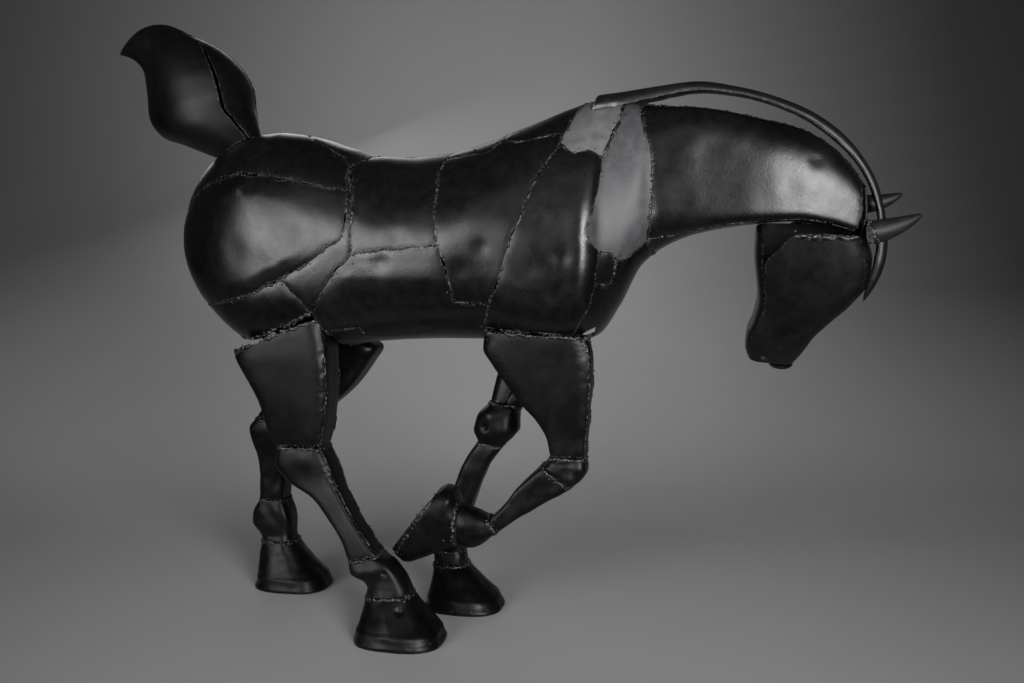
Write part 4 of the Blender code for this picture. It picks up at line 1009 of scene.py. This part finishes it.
def black_paint(name, dark=(0.0022, 0.0022, 0.0025), pale=(0.0055, 0.0056, 0.0065), rough=(0.24, 0.34),
                bare=(0.10, 0.098, 0.095), wear=0.45, pits=0.35, gloss=0.34):
    """Satin black paint over hammered sheet, thin and worn along the edges."""
    n = Nodes(name)
    blotch = n.noise(7.0, 4.0)
    mottle = n.noise(55.0, 5.0, 0.6)
    grain = n.noise(900.0, 2.0, 0.5)
    colour = n.mix(n.spread(n.combine("MULTIPLY", blotch, mottle), 0.15, 0.40), dark, pale)
    edge = n.add("ShaderNodeAttribute", attribute_name="edge").outputs["Fac"]
    chips = n.spread(n.noise(260.0, 4.0, 0.65), 0.50, 0.62)
    worn = n.combine("MULTIPLY", n.spread(edge, 1.0 - wear, 1.0), chips)
    streak = n.noise(38.0, 4.0, 0.7, stretch=(1.0, 6.0, 0.22))
    scratch = n.spread(streak, 0.715, 0.76)
    speck = n.spread(n.cells(210.0), 0.055, 0.03)
    speck = n.combine("MULTIPLY", speck, n.spread(mottle, 0.56, 0.62))
    marks = n.combine("MAXIMUM", n.combine("MULTIPLY", scratch, 0.35), n.combine("MULTIPLY", speck, 0.5))
    marks = n.combine("MAXIMUM", marks, worn)
    colour = n.mix(marks, colour, bare)
    n.join(colour, n.shader.inputs["Base Color"])
    n.join(n.spread(marks, 0.0, 1.0, 0.0, 0.55), n.shader.inputs["Metallic"])
    sheen = n.combine("ADD", n.combine("MULTIPLY", blotch, 0.6), n.combine("MULTIPLY", mottle, 0.4))
    n.join(n.spread(sheen, 0.36, 0.64, *rough), n.shader.inputs["Roughness"])
    n.shader.inputs["Specular IOR Level"].default_value = gloss
    normal = n.bump(grain, 0.10, 0.0002)
    normal = n.bump(n.noise(120.0, 3.0, 0.6), 0.20, 0.0006, normal)
    normal = n.bump(n.spread(n.cells(150.0), 0.0, 0.35), pits * 0.4, 0.0005, normal)
    n.join(normal, n.shader.inputs["Normal"])
    return n.material


def weld_metal(name):
    """Painted weld beads, lighter and darker in random patches, with pale flecks."""
    n = Nodes(name)
    lump = n.noise(90.0, 4.0, 0.6)
    fleck = n.spread(n.noise(210.0, 3.0, 0.6), 0.61, 0.67)
    colour = n.mix(n.spread(lump, 0.40, 0.62), (0.003, 0.003, 0.003), (0.030, 0.029, 0.028))
    colour = n.mix(n.combine("MULTIPLY", fleck, 0.8), colour, (0.19, 0.175, 0.155))
    n.join(colour, n.shader.inputs["Base Color"])
    n.join(n.spread(lump, 0.3, 0.7, 0.28, 0.5), n.shader.inputs["Roughness"])
    n.join(n.spread(fleck, 0.0, 1.0, 0.35, 0.1), n.shader.inputs["Metallic"])
    normal = n.bump(n.noise(420.0, 3.0, 0.6), 0.4, 0.0006)
    n.join(normal, n.shader.inputs["Normal"])
    return n.material


def paper():
    """Seamless grey paper with a faint tooth, and painted shade that darkens the sides of its upright part.
    """
    n = Nodes("paper")
    tooth = n.mix(n.noise(3.0, 3.0), (0.36, 0.362, 0.36), (0.39, 0.392, 0.39))
    axes = n.add("ShaderNodeSeparateXYZ")
    n.join(n.place, axes.inputs["Vector"])
    # painted shade: the upright part of the paper is painted darker toward its sides, in place of the
    # lamps' falloff
    right = n.spread(axes.outputs["X"], 0.4, 2.3, 0.0, 0.80)
    left = n.spread(axes.outputs["X"], -0.8, -2.6, 0.0, 0.50)
    upright = n.spread(axes.outputs["Z"], 0.0, 0.5)
    painted_shade = n.combine("MULTIPLY", n.combine("MAXIMUM", right, left), upright)
    n.join(n.mix(painted_shade, tooth, (0.07, 0.07, 0.07)), n.shader.inputs["Base Color"])
    n.shader.inputs["Roughness"].default_value = 0.85
    n.shader.inputs["Specular IOR Level"].default_value = 0.2
    n.join(n.bump(n.noise(700.0, 2.0), 0.05, 0.0003), n.shader.inputs["Normal"])
    return n.material


def dark_floor():
    """Dark studio floor in front of the paper."""
    n = Nodes("dark_floor")
    n.join(n.mix(n.noise(2.0, 3.0), (0.012, 0.012, 0.012), (0.020, 0.020, 0.020)),
           n.shader.inputs["Base Color"])
    n.shader.inputs["Roughness"].default_value = 0.9
    n.shader.inputs["Specular IOR Level"].default_value = 0.1
    n.join(n.bump(n.noise(300.0, 2.0), 0.1, 0.0005), n.shader.inputs["Normal"])
    return n.material


# ---------------------------------------------------------------- studio
CAMERA_AZIMUTH = math.radians(12)
CAMERA_PITCH = math.radians(6.08)
CAMERA_DISTANCE = 1.85
CAMERA_HEIGHT = 0.72
SENSOR = 36.0            # millimetres
LENS = 35.16
DIM_ROOM = (0.02, 0.02, 0.02)
SPREAD = math.radians(80)     # the softboxes shine through grids
SOFTBOXES = (            # name, x, z, width, height, power of the core and of the halo behind it
    ("left_softbox", -1.08, 0.98, 1.00, 0.75, 3.6, 4.6),
    ("right_softbox", 1.46, 1.05, 0.84, 0.80, 9.6, 7.6),
)
SOFTBOX_Y = -2.15
HALO_Y = -2.17           # the halo stands just behind the core
HALO_SIZE = 1.6          # against the core
AIM = (0.1, 0.0, 0.75)   # what the lamps point at
HIGH_LAMP = (-0.1, -1.9, 2.1)
HIGH_SPOT = (-0.1, 0.0, 0.5)
HIGH_FILL = 0.6          # powers, in watts
FAR_LAMP = (-1.3, 2.6, 1.9)            # lights the far side: across, behind the horse, up
FAR_FILL = 10.0
BACKDROP_POWER = 17.0
BACKDROP_LAMP = (0.0, 0.85, 1.85)      # across, behind the horse, up
BACKDROP_SPOT = (0.0, 3.00, 1.45)
PAPER_START = -0.40      # the paper's front edge lies just below the frame
PAPER_HALF_WIDTH = 3.3
PAPER_TOP = 4.6
WALL_DISTANCE = 3.70     # from the horse to the upright part of the paper
SWEEP_RADIUS = 2.80
SWEEP_STEPS = 24
FLOOR_REACH = 9.0
FLOOR_DROP = 0.002       # the studio floor lies this much below the paper


def soft_light(name, place, target, width, height, power, spread):
    lamp = bpy.data.lights.new(name, "AREA")
    lamp.shape = "RECTANGLE"
    lamp.size = width
    lamp.size_y = height
    lamp.energy = power
    lamp.spread = spread
    item = bpy.data.objects.new(name, lamp)
    bpy.context.scene.collection.objects.link(item)
    item.visible_camera = False
    item.location = place
    item.rotation_euler = (Vector(target) - Vector(place)).to_track_quat("-Z", "Y").to_euler()


def sheet_of(name, profile, half_width, material):
    """Sheet swept sideways from a profile of (distance behind the horse, z), square to the camera."""
    vertices = [(x, y, z) for y, z in profile for x in (-half_width, half_width)]
    faces = [(2 * i, 2 * i + 1, 2 * i + 3, 2 * i + 2) for i in range(len(profile) - 1)]
    mesh = bpy.data.meshes.new(name)
    mesh.from_pydata(vertices, [], faces)
    mesh.shade_smooth()
    mesh.materials.append(material)
    item = bpy.data.objects.new(name, mesh)
    bpy.context.scene.collection.objects.link(item)
    item.location = SHIFT
    item.rotation_euler = (0.0, 0.0, CAMERA_AZIMUTH)


def square_on(x, y, z):
    """Place given square to the camera: across to the right, behind the horse, and up."""
    c, s = math.cos(CAMERA_AZIMUTH), math.sin(CAMERA_AZIMUTH)
    return (x * c - y * s + SHIFT[0], x * s + y * c + SHIFT[1], z)


def backdrop():
    """Paper that lies under the horse and sweeps up into a wall, on a dark studio floor."""
    profile = [(PAPER_START, 0.0), (WALL_DISTANCE - SWEEP_RADIUS, 0.0)]
    for k in range(1, SWEEP_STEPS + 1):
        a = math.pi / 2 * k / SWEEP_STEPS
        profile.append((WALL_DISTANCE - SWEEP_RADIUS + SWEEP_RADIUS * math.sin(a),
                        SWEEP_RADIUS * (1 - math.cos(a))))
    profile.append((WALL_DISTANCE, PAPER_TOP))
    sheet_of("backdrop", profile, PAPER_HALF_WIDTH, paper())
    sheet_of("studio_floor", [(-FLOOR_REACH, -FLOOR_DROP), (FLOOR_REACH, -FLOOR_DROP)], FLOOR_REACH,
             dark_floor())


def build_studio():
    backdrop()
    for name, x, z, width, height, core, halo in SOFTBOXES:
        soft_light(name, (x, SOFTBOX_Y, z), AIM, width, height, core, SPREAD)
        soft_light(name + "_halo", (x, HALO_Y, z), AIM, width * HALO_SIZE, height * HALO_SIZE, halo, SPREAD)
    for name, place, target, width, height, power, spread in (
            ("high_fill", HIGH_LAMP, HIGH_SPOT, 1.2, 0.5, HIGH_FILL, math.radians(120)),
            ("backdrop_light", square_on(*BACKDROP_LAMP), square_on(*BACKDROP_SPOT), 0.9, 0.3,
             BACKDROP_POWER, math.pi),
            ("far_fill", square_on(*FAR_LAMP), AIM, 1.8, 1.2, FAR_FILL, math.pi)):
        soft_light(name, place, target, width, height, power, spread)
    world = bpy.data.worlds.new("studio")
    world.use_nodes = True
    world.node_tree.nodes["Background"].inputs["Color"].default_value = (*DIM_ROOM, 1.0)
    bpy.context.scene.world = world
    bpy.context.scene.view_settings.view_transform = "Standard"


def build_camera():
    lens = bpy.data.cameras.new("camera")
    lens.sensor_width = SENSOR
    lens.lens = LENS
    camera = bpy.data.objects.new("camera", lens)
    bpy.context.scene.collection.objects.link(camera)
    place = Vector((CAMERA_DISTANCE * math.sin(CAMERA_AZIMUTH), -CAMERA_DISTANCE * math.cos(CAMERA_AZIMUTH),
                    CAMERA_HEIGHT)) + Vector(SHIFT)
    camera.location = place
    camera.rotation_euler = (math.pi / 2 - CAMERA_PITCH, 0.0, CAMERA_AZIMUTH)
    bpy.context.scene.camera = camera


# ---------------------------------------------------------------- dents, folds and lips
def fold(start, end, height, before, after):
    """Straight fold drawn from the side, as (x, z). It rises over one width and falls over the other."""
    first = np.array(start)
    reach = math.dist(start, end)
    ahead = (np.array(end) - first) / reach

    def mark(base, distance):
        offset = base[:, (0, 2)] - first
        run = offset @ ahead
        across = offset[:, 1] * ahead[0] - offset[:, 0] * ahead[1]
        rise = np.where(across < 0, 1 + across / before, 1 - across / after)
        ends = np.clip(np.minimum(run, reach - run) / FOLD_FADE + 0.5, 0.0, 1.0)
        return height * np.clip(rise, 0.0, 1.0) * ends * np.clip(distance / FOLD_FADE, 0.0, 1.0)
    return mark


def lip(height, width, out):
    """Ridge round a limb at one height above the ground."""
    def mark(base, distance):
        return out * np.exp(-((base[:, 2] - height) / width) ** 2)
    return mark


def proud(start, end, height):
    """Free edge that stands proud of the skin, more and more from one x to another."""
    def mark(base, distance):
        return height * np.clip((base[:, 0] - start) / (end - start), 0.0, 1.0) ** 2
    return mark


MARKS = {
    "near_rump_side_plate": (fold((-0.474, 0.818), (-0.386, 0.640), 0.0050, 0.300, 0.110),),
    "near_barrel_lower_plate": (fold((-0.280, 0.646), (-0.080, 0.643), 0.0016, 0.030, 0.030),),
    "near_shoulder_plate": (proud(0.085, 0.160, 0.0085),),
    "near_hind_hoof": (
        lip(0.004, 0.005, 0.0022),
        lip(0.022, 0.003, 0.0012),
        fold((-0.200, 0.078), (-0.158, 0.000), 0.0045, 0.030, 0.035),
    ),
    "far_hind_hoof": (lip(0.004, 0.005, 0.0024), lip(0.024, 0.003, 0.0012)),
    "far_fore_hoof": (lip(0.004, 0.005, 0.0024), lip(0.022, 0.003, 0.0012)),
}
# Round dents, as x, y, z, radius and depth in millimetres. A lump has a negative depth.
PITS = {
    "near_rump_side_plate": ((-468, -135, 806, 12, -4), (-390, -129, 809, 10, 2.2),
        (-340, -150, 720, 30, 2), (-470, -150, 690, 26, 1.6)),
    "near_rump_upper_plate": ((-440, -100, 850, 22, 2), (-340, -105, 850, 30, 1.8)),
    "near_barrel_lower_plate": ((-200, -156, 672, 16, 1.8), (-120, -156, 600, 30, 1.6)),
    "near_barrel_upper_plate": ((-170, -150, 715, 18, 1.4), (-230, -140, 770, 22, 1.2)),
    "near_rib_plate": ((-20, -152, 700, 14, 2), (-60, -155, 660, 18, 2.2), (30, -135, 770, 20, 1.8)),
    "near_shoulder_plate": ((75, -140, 745, 18, 2.2), (115, -145, 680, 16, 2.2), (60, -152, 660, 20, 1.8),
        (130, -120, 800, 22, 2), (100, -148, 620, 20, 1.8)),
    "near_neck_side_plate": ((487, -67, 800, 16, 0.5), (530, -60, 845, 13, 1.8),
        (350, -74, 860, 30, 1.2)),
    "near_hind_hoof": ((-163, -190, 60, 5, 6), (-108, -190, 22, 4, 4.5)),
    "near_hind_fetlock": ((-172.6, -177, 73.4, 6, 8), (-196, -174, 121, 4, 4)),
    "far_fore_hoof": ((-78, -12, 24, 4, 4.5), (-61, -12, 26, 4, 4.5)),
    "near_fore_hoof": ((-90, -150, 190, 20, 3), (-90, -135, 250, 10, -3)),
    "near_fore_knee": ((115, -124, 318, 12, -2), (142, -112, 300, 8, 3)),
    "far_fore_knee": ((-50, 30, 372, 16, -3.5), (-25, 30, 350, 14, -3), (-60, 30, 352, 5, 4)),
    "near_hind_shank_channel": ((-364, -145, 315, 18, -3), (-330, -146, 325, 5, 4)),
    "near_cheek_plate": ((455.7, 6.7, 506.5, 7, 7), (488, 5, 500, 6, 4), (520, -30, 640, 30, 2)),
    "muzzle": ((466, 6, 490, 4, 4),),
}


def hammered(name, amount=1.0, lumps=0.0):
    """Relief of a hand-hammered sheet, drawn in a little along its welded edges, with its own marks."""
    seed = seed_of(name)

    def relief(base, distance):
        calm = 1 - 0.6 * np.exp(-distance / CALM_REACH)
        push = waves(base, BROAD_WAVE[0], seed) * BROAD_WAVE[1] * amount * calm
        push += waves(base, SMALL_WAVE[0], seed + 1) * SMALL_WAVE[1] * amount
        push += waves(base, LUMP_SIZE, seed + 3) * lumps
        pull = 0.5 + 0.5 * waves(base, SMALL_WAVE[0], seed + 2)
        push -= PULL * np.exp(-distance / PULL_REACH) * pull
        for mark in MARKS.get(name, ()):
            push += mark(base, distance)
        for *centre, radius, depth in metres(PITS.get(name, ()), 5):
            push -= depth * np.exp(-((base - centre) ** 2).sum(axis=1) / radius ** 2)
        return push
    return relief


# ---------------------------------------------------------------- the horse
def trunk_outline(seams, side, mirrored=False):
    return [seam_points(seam, side, mirrored) for seam in seams]


def trunk_plate(name, surface, runs, material, flip):
    outline = chain(runs)
    plate(name, surface, outline[:, :2], material, hammered(name), flip=flip, gap=outline[:, 2])


def build_trunk(materials):
    usual = materials["paint"]
    for side, plates in ((NEAR, NEAR_PLATES), (FAR, FAR_PLATES)):
        for name, seams in plates.items():
            trunk_plate(name, skin(side), trunk_outline(seams, side), materials.get(name, usual), -side)
    for name, seams in PAIRED_PLATES.items():
        for side, prefix in ((NEAR, "near_"), (FAR, "far_")):
            trunk_plate(prefix + name, skin(side), trunk_outline(seams, side), usual, -side)
    for name, seams in WRAPPED_PLATES.items():
        near_half = trunk_outline(seams, NEAR)
        far_half = [run[::-1] for run in reversed(trunk_outline(seams, FAR, mirrored=True))]
        trunk_plate(name, skin(NEAR), near_half + far_half, usual, 1)


def evenly(start, end, step):
    """Levels from start to end, no further apart than the step."""
    return np.linspace(start, end, max(1, math.ceil(abs(end - start) / step)) + 1)


def band(length, low, high, seed, scale, start=0.0, rag=0.0005):
    """Outline between two levels and between two angles, with slightly ragged sides."""
    step = FINE_SEAM / scale
    levels = evenly(start, length, FINE_SEAM)
    turns = evenly(low, high, step)
    fade = np.clip(np.minimum(levels - start, length - levels) / SEAM_FADE, 0.0, 1.0)
    low_side = low + waves(levels[:, None], 0.012, seed) * rag / scale * fade
    high_side = high + waves(levels[:, None], 0.012, seed + 1) * rag / scale * fade
    return np.concatenate((np.stack((levels[:-1], low_side[:-1]), axis=1),
                           np.stack((np.full(len(turns) - 1, length), turns[:-1]), axis=1),
                           np.stack((levels[:0:-1], high_side[:0:-1]), axis=1),
                           np.stack((np.full(len(turns) - 1, start), turns[:0:-1]), axis=1)))


def limb_sheet(name, stations, side, low, high, material):
    """Sheet of an upper limb between two angles."""
    scale = stations[1][5]
    outline = band(limb_length(stations), low, high, seed_of(name), scale)
    plate(name, limb(stations, side), outline, material, hammered(name, 0.8), flip=side,
          scale=scale)


def build_limbs(material):
    for name, (stations, side, make, joint, width) in LIMBS.items():
        if make == "channel":
            limb_sheet(name + "_channel", stations, side, LIMB_CORNER, 2 * math.pi - LIMB_CORNER, material)
            limb_sheet(name + "_front_strip", stations, side, -LIMB_CORNER, LIMB_CORNER, material)
        elif make == "wrapped":
            limb_sheet(name, stations, side, INNER_SLIT - math.pi / 2, 1.5 * math.pi - INNER_SLIT, material)
        else:
            length = limb_length(stations)
            solid(name, limb(stations, side), length, material, hammered(name, 1.6, 0.0007),
                  rows=max(8, round(length / SOLID_STEP)))


def build_head(material, ear_material):
    surface = head_surface(HEAD)
    distances = [d for d, _ in column(HEAD, 0)]
    top = distances[HEAD_TOP_STATION]
    end = distances[-1]
    front = math.radians(45)
    jaw = math.radians(135)
    turn = 2 * math.pi
    scale = HEAD[HEAD_TOP_STATION][4]
    corner = ((top + CHEEK_CUT, math.radians(134)), (top + 0.040, math.radians(131)),
              (top + 0.018, math.radians(119)), (top - 0.002, math.radians(110)),
              (top - 0.012, math.radians(100)), (top - 0.014, math.radians(75)),
              (top - 0.006, math.radians(48)), (top, front))
    corner = trace([(v, t * scale) for v, t in corner], FINE_SEAM) / (1.0, scale)
    near_cheek = band(end, front, jaw, 5, scale, start=top)
    kept = near_cheek[:len(evenly(top, end, FINE_SEAM)) * 2 - 2
                      + len(evenly(front, jaw, FINE_SEAM / scale)) - 1]
    kept = kept[(kept[:, 0] > top + CHEEK_CUT) | (kept[:, 1] < jaw - 0.2)]
    outlines = {
        "near_cheek_plate": np.concatenate((kept, corner)),
        "far_cheek_plate": band(end, turn - jaw, turn - front, 6, scale, start=top),
        "throat_plate": band(end, jaw, turn - jaw, 7, scale, start=top),
        "forehead_plate": band(end, -front, front, 8, scale),
    }
    for name, outline in outlines.items():
        plate(name, surface, outline, material, hammered(name, 0.8), flip=-1, scale=scale)
    solid("muzzle", head_surface(MUZZLE), limb_length(MUZZLE), material, hammered("muzzle", 0.3),
          rows=10, rim=0.001)
    for name, ear in EARS.items():
        cone = ear_surface(ear["base"], ear["tip"], ear["radius"], ear["turn"])
        size = math.dist(ear["base"], ear["tip"])
        flat = band(0.96 * size, -EAR_SWEEP, EAR_SWEEP, 9, 0.018, rag=0.0003)

        def shell(v, t, cone=cone, size=size):
            return cone(v / size, t)
        plate(name, shell, flat, ear_material, hammered(name, 0.1), thickness=EAR_SHEET, step=0.003,
              scale=0.018)


def build_mane(material):
    outline = band(limb_length(MANE), -math.pi / 2, math.pi / 2, 11, 0.03, rag=0.0008)
    plate("mane", mane_surface(), outline, material, hammered("mane", 0.3), scale=0.03, step=0.004)


def build_tail(material):
    for kind, flip, width in (("near", -1, 0.17), ("far", 1, 0.17), ("crest", -1, 0.10)):
        low, high = LEAF_EDGES[kind]
        name = "tail_" + kind + "_leaf"

        def leaf(v, t, kind=kind):
            return tail_leaf(kind)(v / LEAF_LENGTH, t)
        outline = band(LEAF_LENGTH, low, high, seed_of(kind), width)
        plate(name, leaf, outline, material, hammered(name, 0.8), flip=flip, scale=width)


# ---------------------------------------------------------------- weld beads and spatter
SEAM_WELDS = {           # share of the seam that is covered, and width of the bead
    "rump middle": (0.25, 0.0022), "rump curl": (0.75, 0.0040), "rump bottom": (0.85, 0.0040),
    "thigh top": (0.85, 0.0055), "band front": (0.3, 0.0022), "barrel rear": (0.7, 0.0036),
    "flank crack": (0.3, 0.0036), "barrel middle": (0.65, 0.0026), "rib rear": (0.6, 0.0038),
    "rib low": (0.35, 0.0034), "rib bottom": (0.6, 0.0030), "elbow step": (0.5, 0.0034),
    "shoulder rear": (0.55, 0.0038), "spine low rear": (0.6, 0.0038), "spine low front": (0.6, 0.0038),
    "withers rear": (0.7, 0.0046), "withers low": (0.7, 0.0046), "withers front": (0.7, 0.0050),
    "shoulder front": (0.45, 0.0050), "patch top": (0.7, 0.0040), "patch front": (0.7, 0.0040),
    "patch bottom": (0.7, 0.0040), "shoulder bottom": (0.9, 0.0060), "shoulder tip": (0.8, 0.0060),
    "neck base low": (0.7, 0.0044), "neck root": (0.75, 0.0044), "neck low": (0.8, 0.0040),
    "croup edge": (0.6, 0.0036), "loin edge": (0.6, 0.0036), "rump front": (0.6, 0.0036),
    "rump crest": (0.7, 0.0040), "barrel crest": (0.6, 0.0036), "neck crest": (1.0, 0.0085),
    "groin edge": (0.7, 0.0036), "groin front": (0.6, 0.0036), "groin rear": (0.5, 0.0036),
    "barrel front": (0.6, 0.0036), "barrel keel": (0.6, 0.0036), "chest side": (0.6, 0.0040),
    "neck base crest": (0.7, 0.0050), "throat root": (0.7, 0.0044),
}


CRUSTY_SEAMS = {         # size of the lumps along a seam
    "neck crest": 0.0050, "shoulder front": 0.0022, "thigh top": 0.0026, "withers front": 0.0022,
    "rump bottom": 0.0018, "neck root": 0.0020, "withers rear": 0.0022, "neck low": 0.0020,
}


def covered(run, share, seed):
    """Stretches of a run of points that a patchy weld covers."""
    level = waves(run[:, None], 0.028, seed)
    mask = level <= np.quantile(level, share)
    stretches, start = [], None
    for i, on in enumerate(list(mask) + [False]):
        if on and start is None:
            start = i
        if not on and start is not None:
            if i - start >= SHORTEST_BEAD:
                stretches.append((start, i))
            start = None
    return stretches


def blob(place, up, radius, seed):
    """Drop of spatter stuck to the sheet."""
    side = np.cross(up, (0.31, 0.67, 0.67))
    side /= np.linalg.norm(side)
    ahead = np.cross(up, side)
    turns = np.arange(DROP_SIDES) * 2 * math.pi / DROP_SIDES
    circle = side * np.cos(turns)[:, None] + ahead * np.sin(turns)[:, None]
    stretch = 1 + 0.25 * math.sin(seed)
    rings = [place - up * radius * 0.8 + circle * radius * 0.8, place + circle * radius * stretch,
             place + up * radius * 0.62 + circle * radius * 0.62]
    points = np.concatenate(rings + [(place + up * radius * 0.85)[None, :]])
    last = 2 * DROP_SIDES
    faces = [tuple(range(DROP_SIDES))[::-1]] + wall_faces(2, DROP_SIDES)
    faces.extend((last + k, last + (k + 1) % DROP_SIDES, last + DROP_SIDES) for k in range(DROP_SIDES))
    return points, faces


def weld(name, path, normal, share, width, material, crust=0.0):
    """Patchy bead along a path, with drops of spatter beside it and lumps of up to the crust's radius."""
    seed = seed_of(name)
    run = lengths(path)
    parts = [bead(path[i:j], normal[i:j], width * BEAD_FULLNESS, seed + i, lift=-0.1 * width)
             for i, j in covered(run, share, seed)]
    random = np.random.default_rng((PILE, seed))
    across = unit(np.cross(np.gradient(path, axis=0), normal))
    for _ in range(int(run[-1] / SPATTER_STEP)):
        k = random.integers(len(path))
        place = path[k] + across[k] * random.normal() * SPATTER_REACH * 0.5 - normal[k] * 0.0003
        parts.append(blob(place, normal[k], random.uniform(*SPATTER_SIZE), random.uniform(0, 6)))
    for _ in range(int(run[-1] / CRUST_STEP) if crust > 0 else 0):
        k = random.integers(len(path))
        place = path[k] + across[k] * random.normal() * width * 0.5 - normal[k] * crust * 0.3
        parts.append(blob(place, normal[k], random.uniform(0.4, 1.0) * crust, random.uniform(0, 6)))
    if parts:
        points, faces = gather(parts)
        under = np.minimum(points[:, 2] - SOLE_CLEAR, 0.0)
        points[:, 2] -= under * (1 - SQUASHED)
        piece = add_piece(name, points, faces, material)


def weld_trunk(material):
    for seam, (share, width) in SEAM_WELDS.items():
        for side, prefix in ((NEAR, "near_"), (FAR, "far_")):
            points = seam_points(seam, side)
            s, t = points[:, 0], points[:, 1]
            on_middle = np.all(np.abs(np.abs(t) - GIRTH_RADIUS * math.pi / 2) < 0.004)
            if on_middle and side == FAR:
                continue
            surface = skin(side)
            normal = outward(surface, s, t) * -side
            if on_middle:
                normal = np.stack((np.zeros(len(s)), np.zeros(len(s)), np.sign(t)), axis=1)
            weld(prefix + seam.replace(" ", "_") + "_weld", surface(s, t), normal, share, width, material,
                 crust=CRUSTY_SEAMS.get(seam, 0.0))


def ring(surface, v, low, high, count=110):
    """Path once round a limb, or part of the way, with its outward normals."""
    t = np.linspace(low, high, count)
    level = np.full(count, v)
    path = surface(level, t)
    normal = outward(surface, level, t)
    normal *= np.sign(np.einsum("ij,ij->", normal, path - path.mean(axis=0)))
    return path, normal


def weld_limbs(material):
    """Welds at the upper end of each piece, round the soles and along the corners of the channels."""
    for name, (stations, side, make, joint, width) in LIMBS.items():
        surface = limb(stations, side)
        path, normal = ring(surface, JOINT_REACH, 0.0, 2 * math.pi)
        weld(joint + "_weld", path, normal, 0.85, width, material, crust=JOINT_CRUST)
        if name.endswith("_hoof"):
            path, normal = ring(surface, limb_length(stations) - RIM_RISE, 0.0, 2 * math.pi)
            weld(name.removesuffix("_hoof") + "_rim", path, normal, 0.7, 0.0050, material,
                 crust=RIM_CRUST)
        if make != "channel":
            continue
        v = evenly(0.0, limb_length(stations), FINE_SEAM)
        for edge, angle in (("outer", LIMB_CORNER), ("inner", -LIMB_CORNER)):
            t = np.full(len(v), angle)
            normal = outward(surface, v, t) * -1
            weld(name + "_" + edge + "_weld", surface(v, t), normal, 0.55, 0.0034, material)


def weld_head(material):
    surface = head_surface(HEAD)
    top = column(HEAD, 0)[HEAD_TOP_STATION][0]
    for name, v, low, high, width in (("poll", top - 0.002, 0.6, 1.9, 0.0085),
                                      ("far_poll", top - 0.002, -1.9, -0.6, 0.0070)):
        path, normal = ring(surface, v, low, high)
        weld(name + "_weld", path, normal, 0.9, width, material)
    for name, ear in EARS.items():
        cone = ear_surface(ear["base"], ear["tip"], ear["radius"], ear["turn"])
        path, normal = ring(cone, EAR_ROOT, -EAR_SWEEP, EAR_SWEEP)
        weld(name + "_root_weld", path, normal, 1.0, 0.006, material, crust=0.0040)


paint = black_paint("black_paint")
beads = weld_metal("weld_metal")
build_trunk({
    "paint": paint,
    "near_withers_patch": black_paint("ground_steel", (0.075, 0.075, 0.078), (0.130, 0.128, 0.130),
                                      (0.40, 0.52), wear=0.6),
    # the near neck-base plate's paint is rubbed, and its colour is made paler as a painted highlight for
    # the plate's broad shine
    "near_neck_base_plate": black_paint("rubbed_paint_with_painted_highlight", (0.040, 0.040, 0.043), (0.075, 0.075, 0.080),
                                        (0.42, 0.54)),
})
build_limbs(black_paint("leg_paint", (0.0014, 0.0014, 0.0016), (0.0036, 0.0037, 0.0043), (0.33, 0.46),
                        gloss=0.20))
build_head(black_paint("head_paint", rough=(0.32, 0.44), bare=(0.05, 0.049, 0.047), wear=0.3, gloss=0.28),
           # the ears' paint is paler than the body's: the paler colour is a painted sheen for their soft
           # grey shine
           black_paint("ear_paint_with_painted_sheen", (0.006, 0.006, 0.007), (0.014, 0.014, 0.016), (0.46, 0.56)))
# the mane's paint is paler than the body's: the paler colour is a painted highlight for its broad sheen
build_mane(black_paint("mane_paint_with_painted_highlight", (0.005, 0.005, 0.006), (0.010, 0.010, 0.012), (0.31, 0.42)))
build_tail(black_paint("tail_paint", rough=(0.34, 0.44), gloss=0.20))
weld_trunk(beads)
weld_limbs(beads)
weld_head(beads)
build_studio()
build_camera()
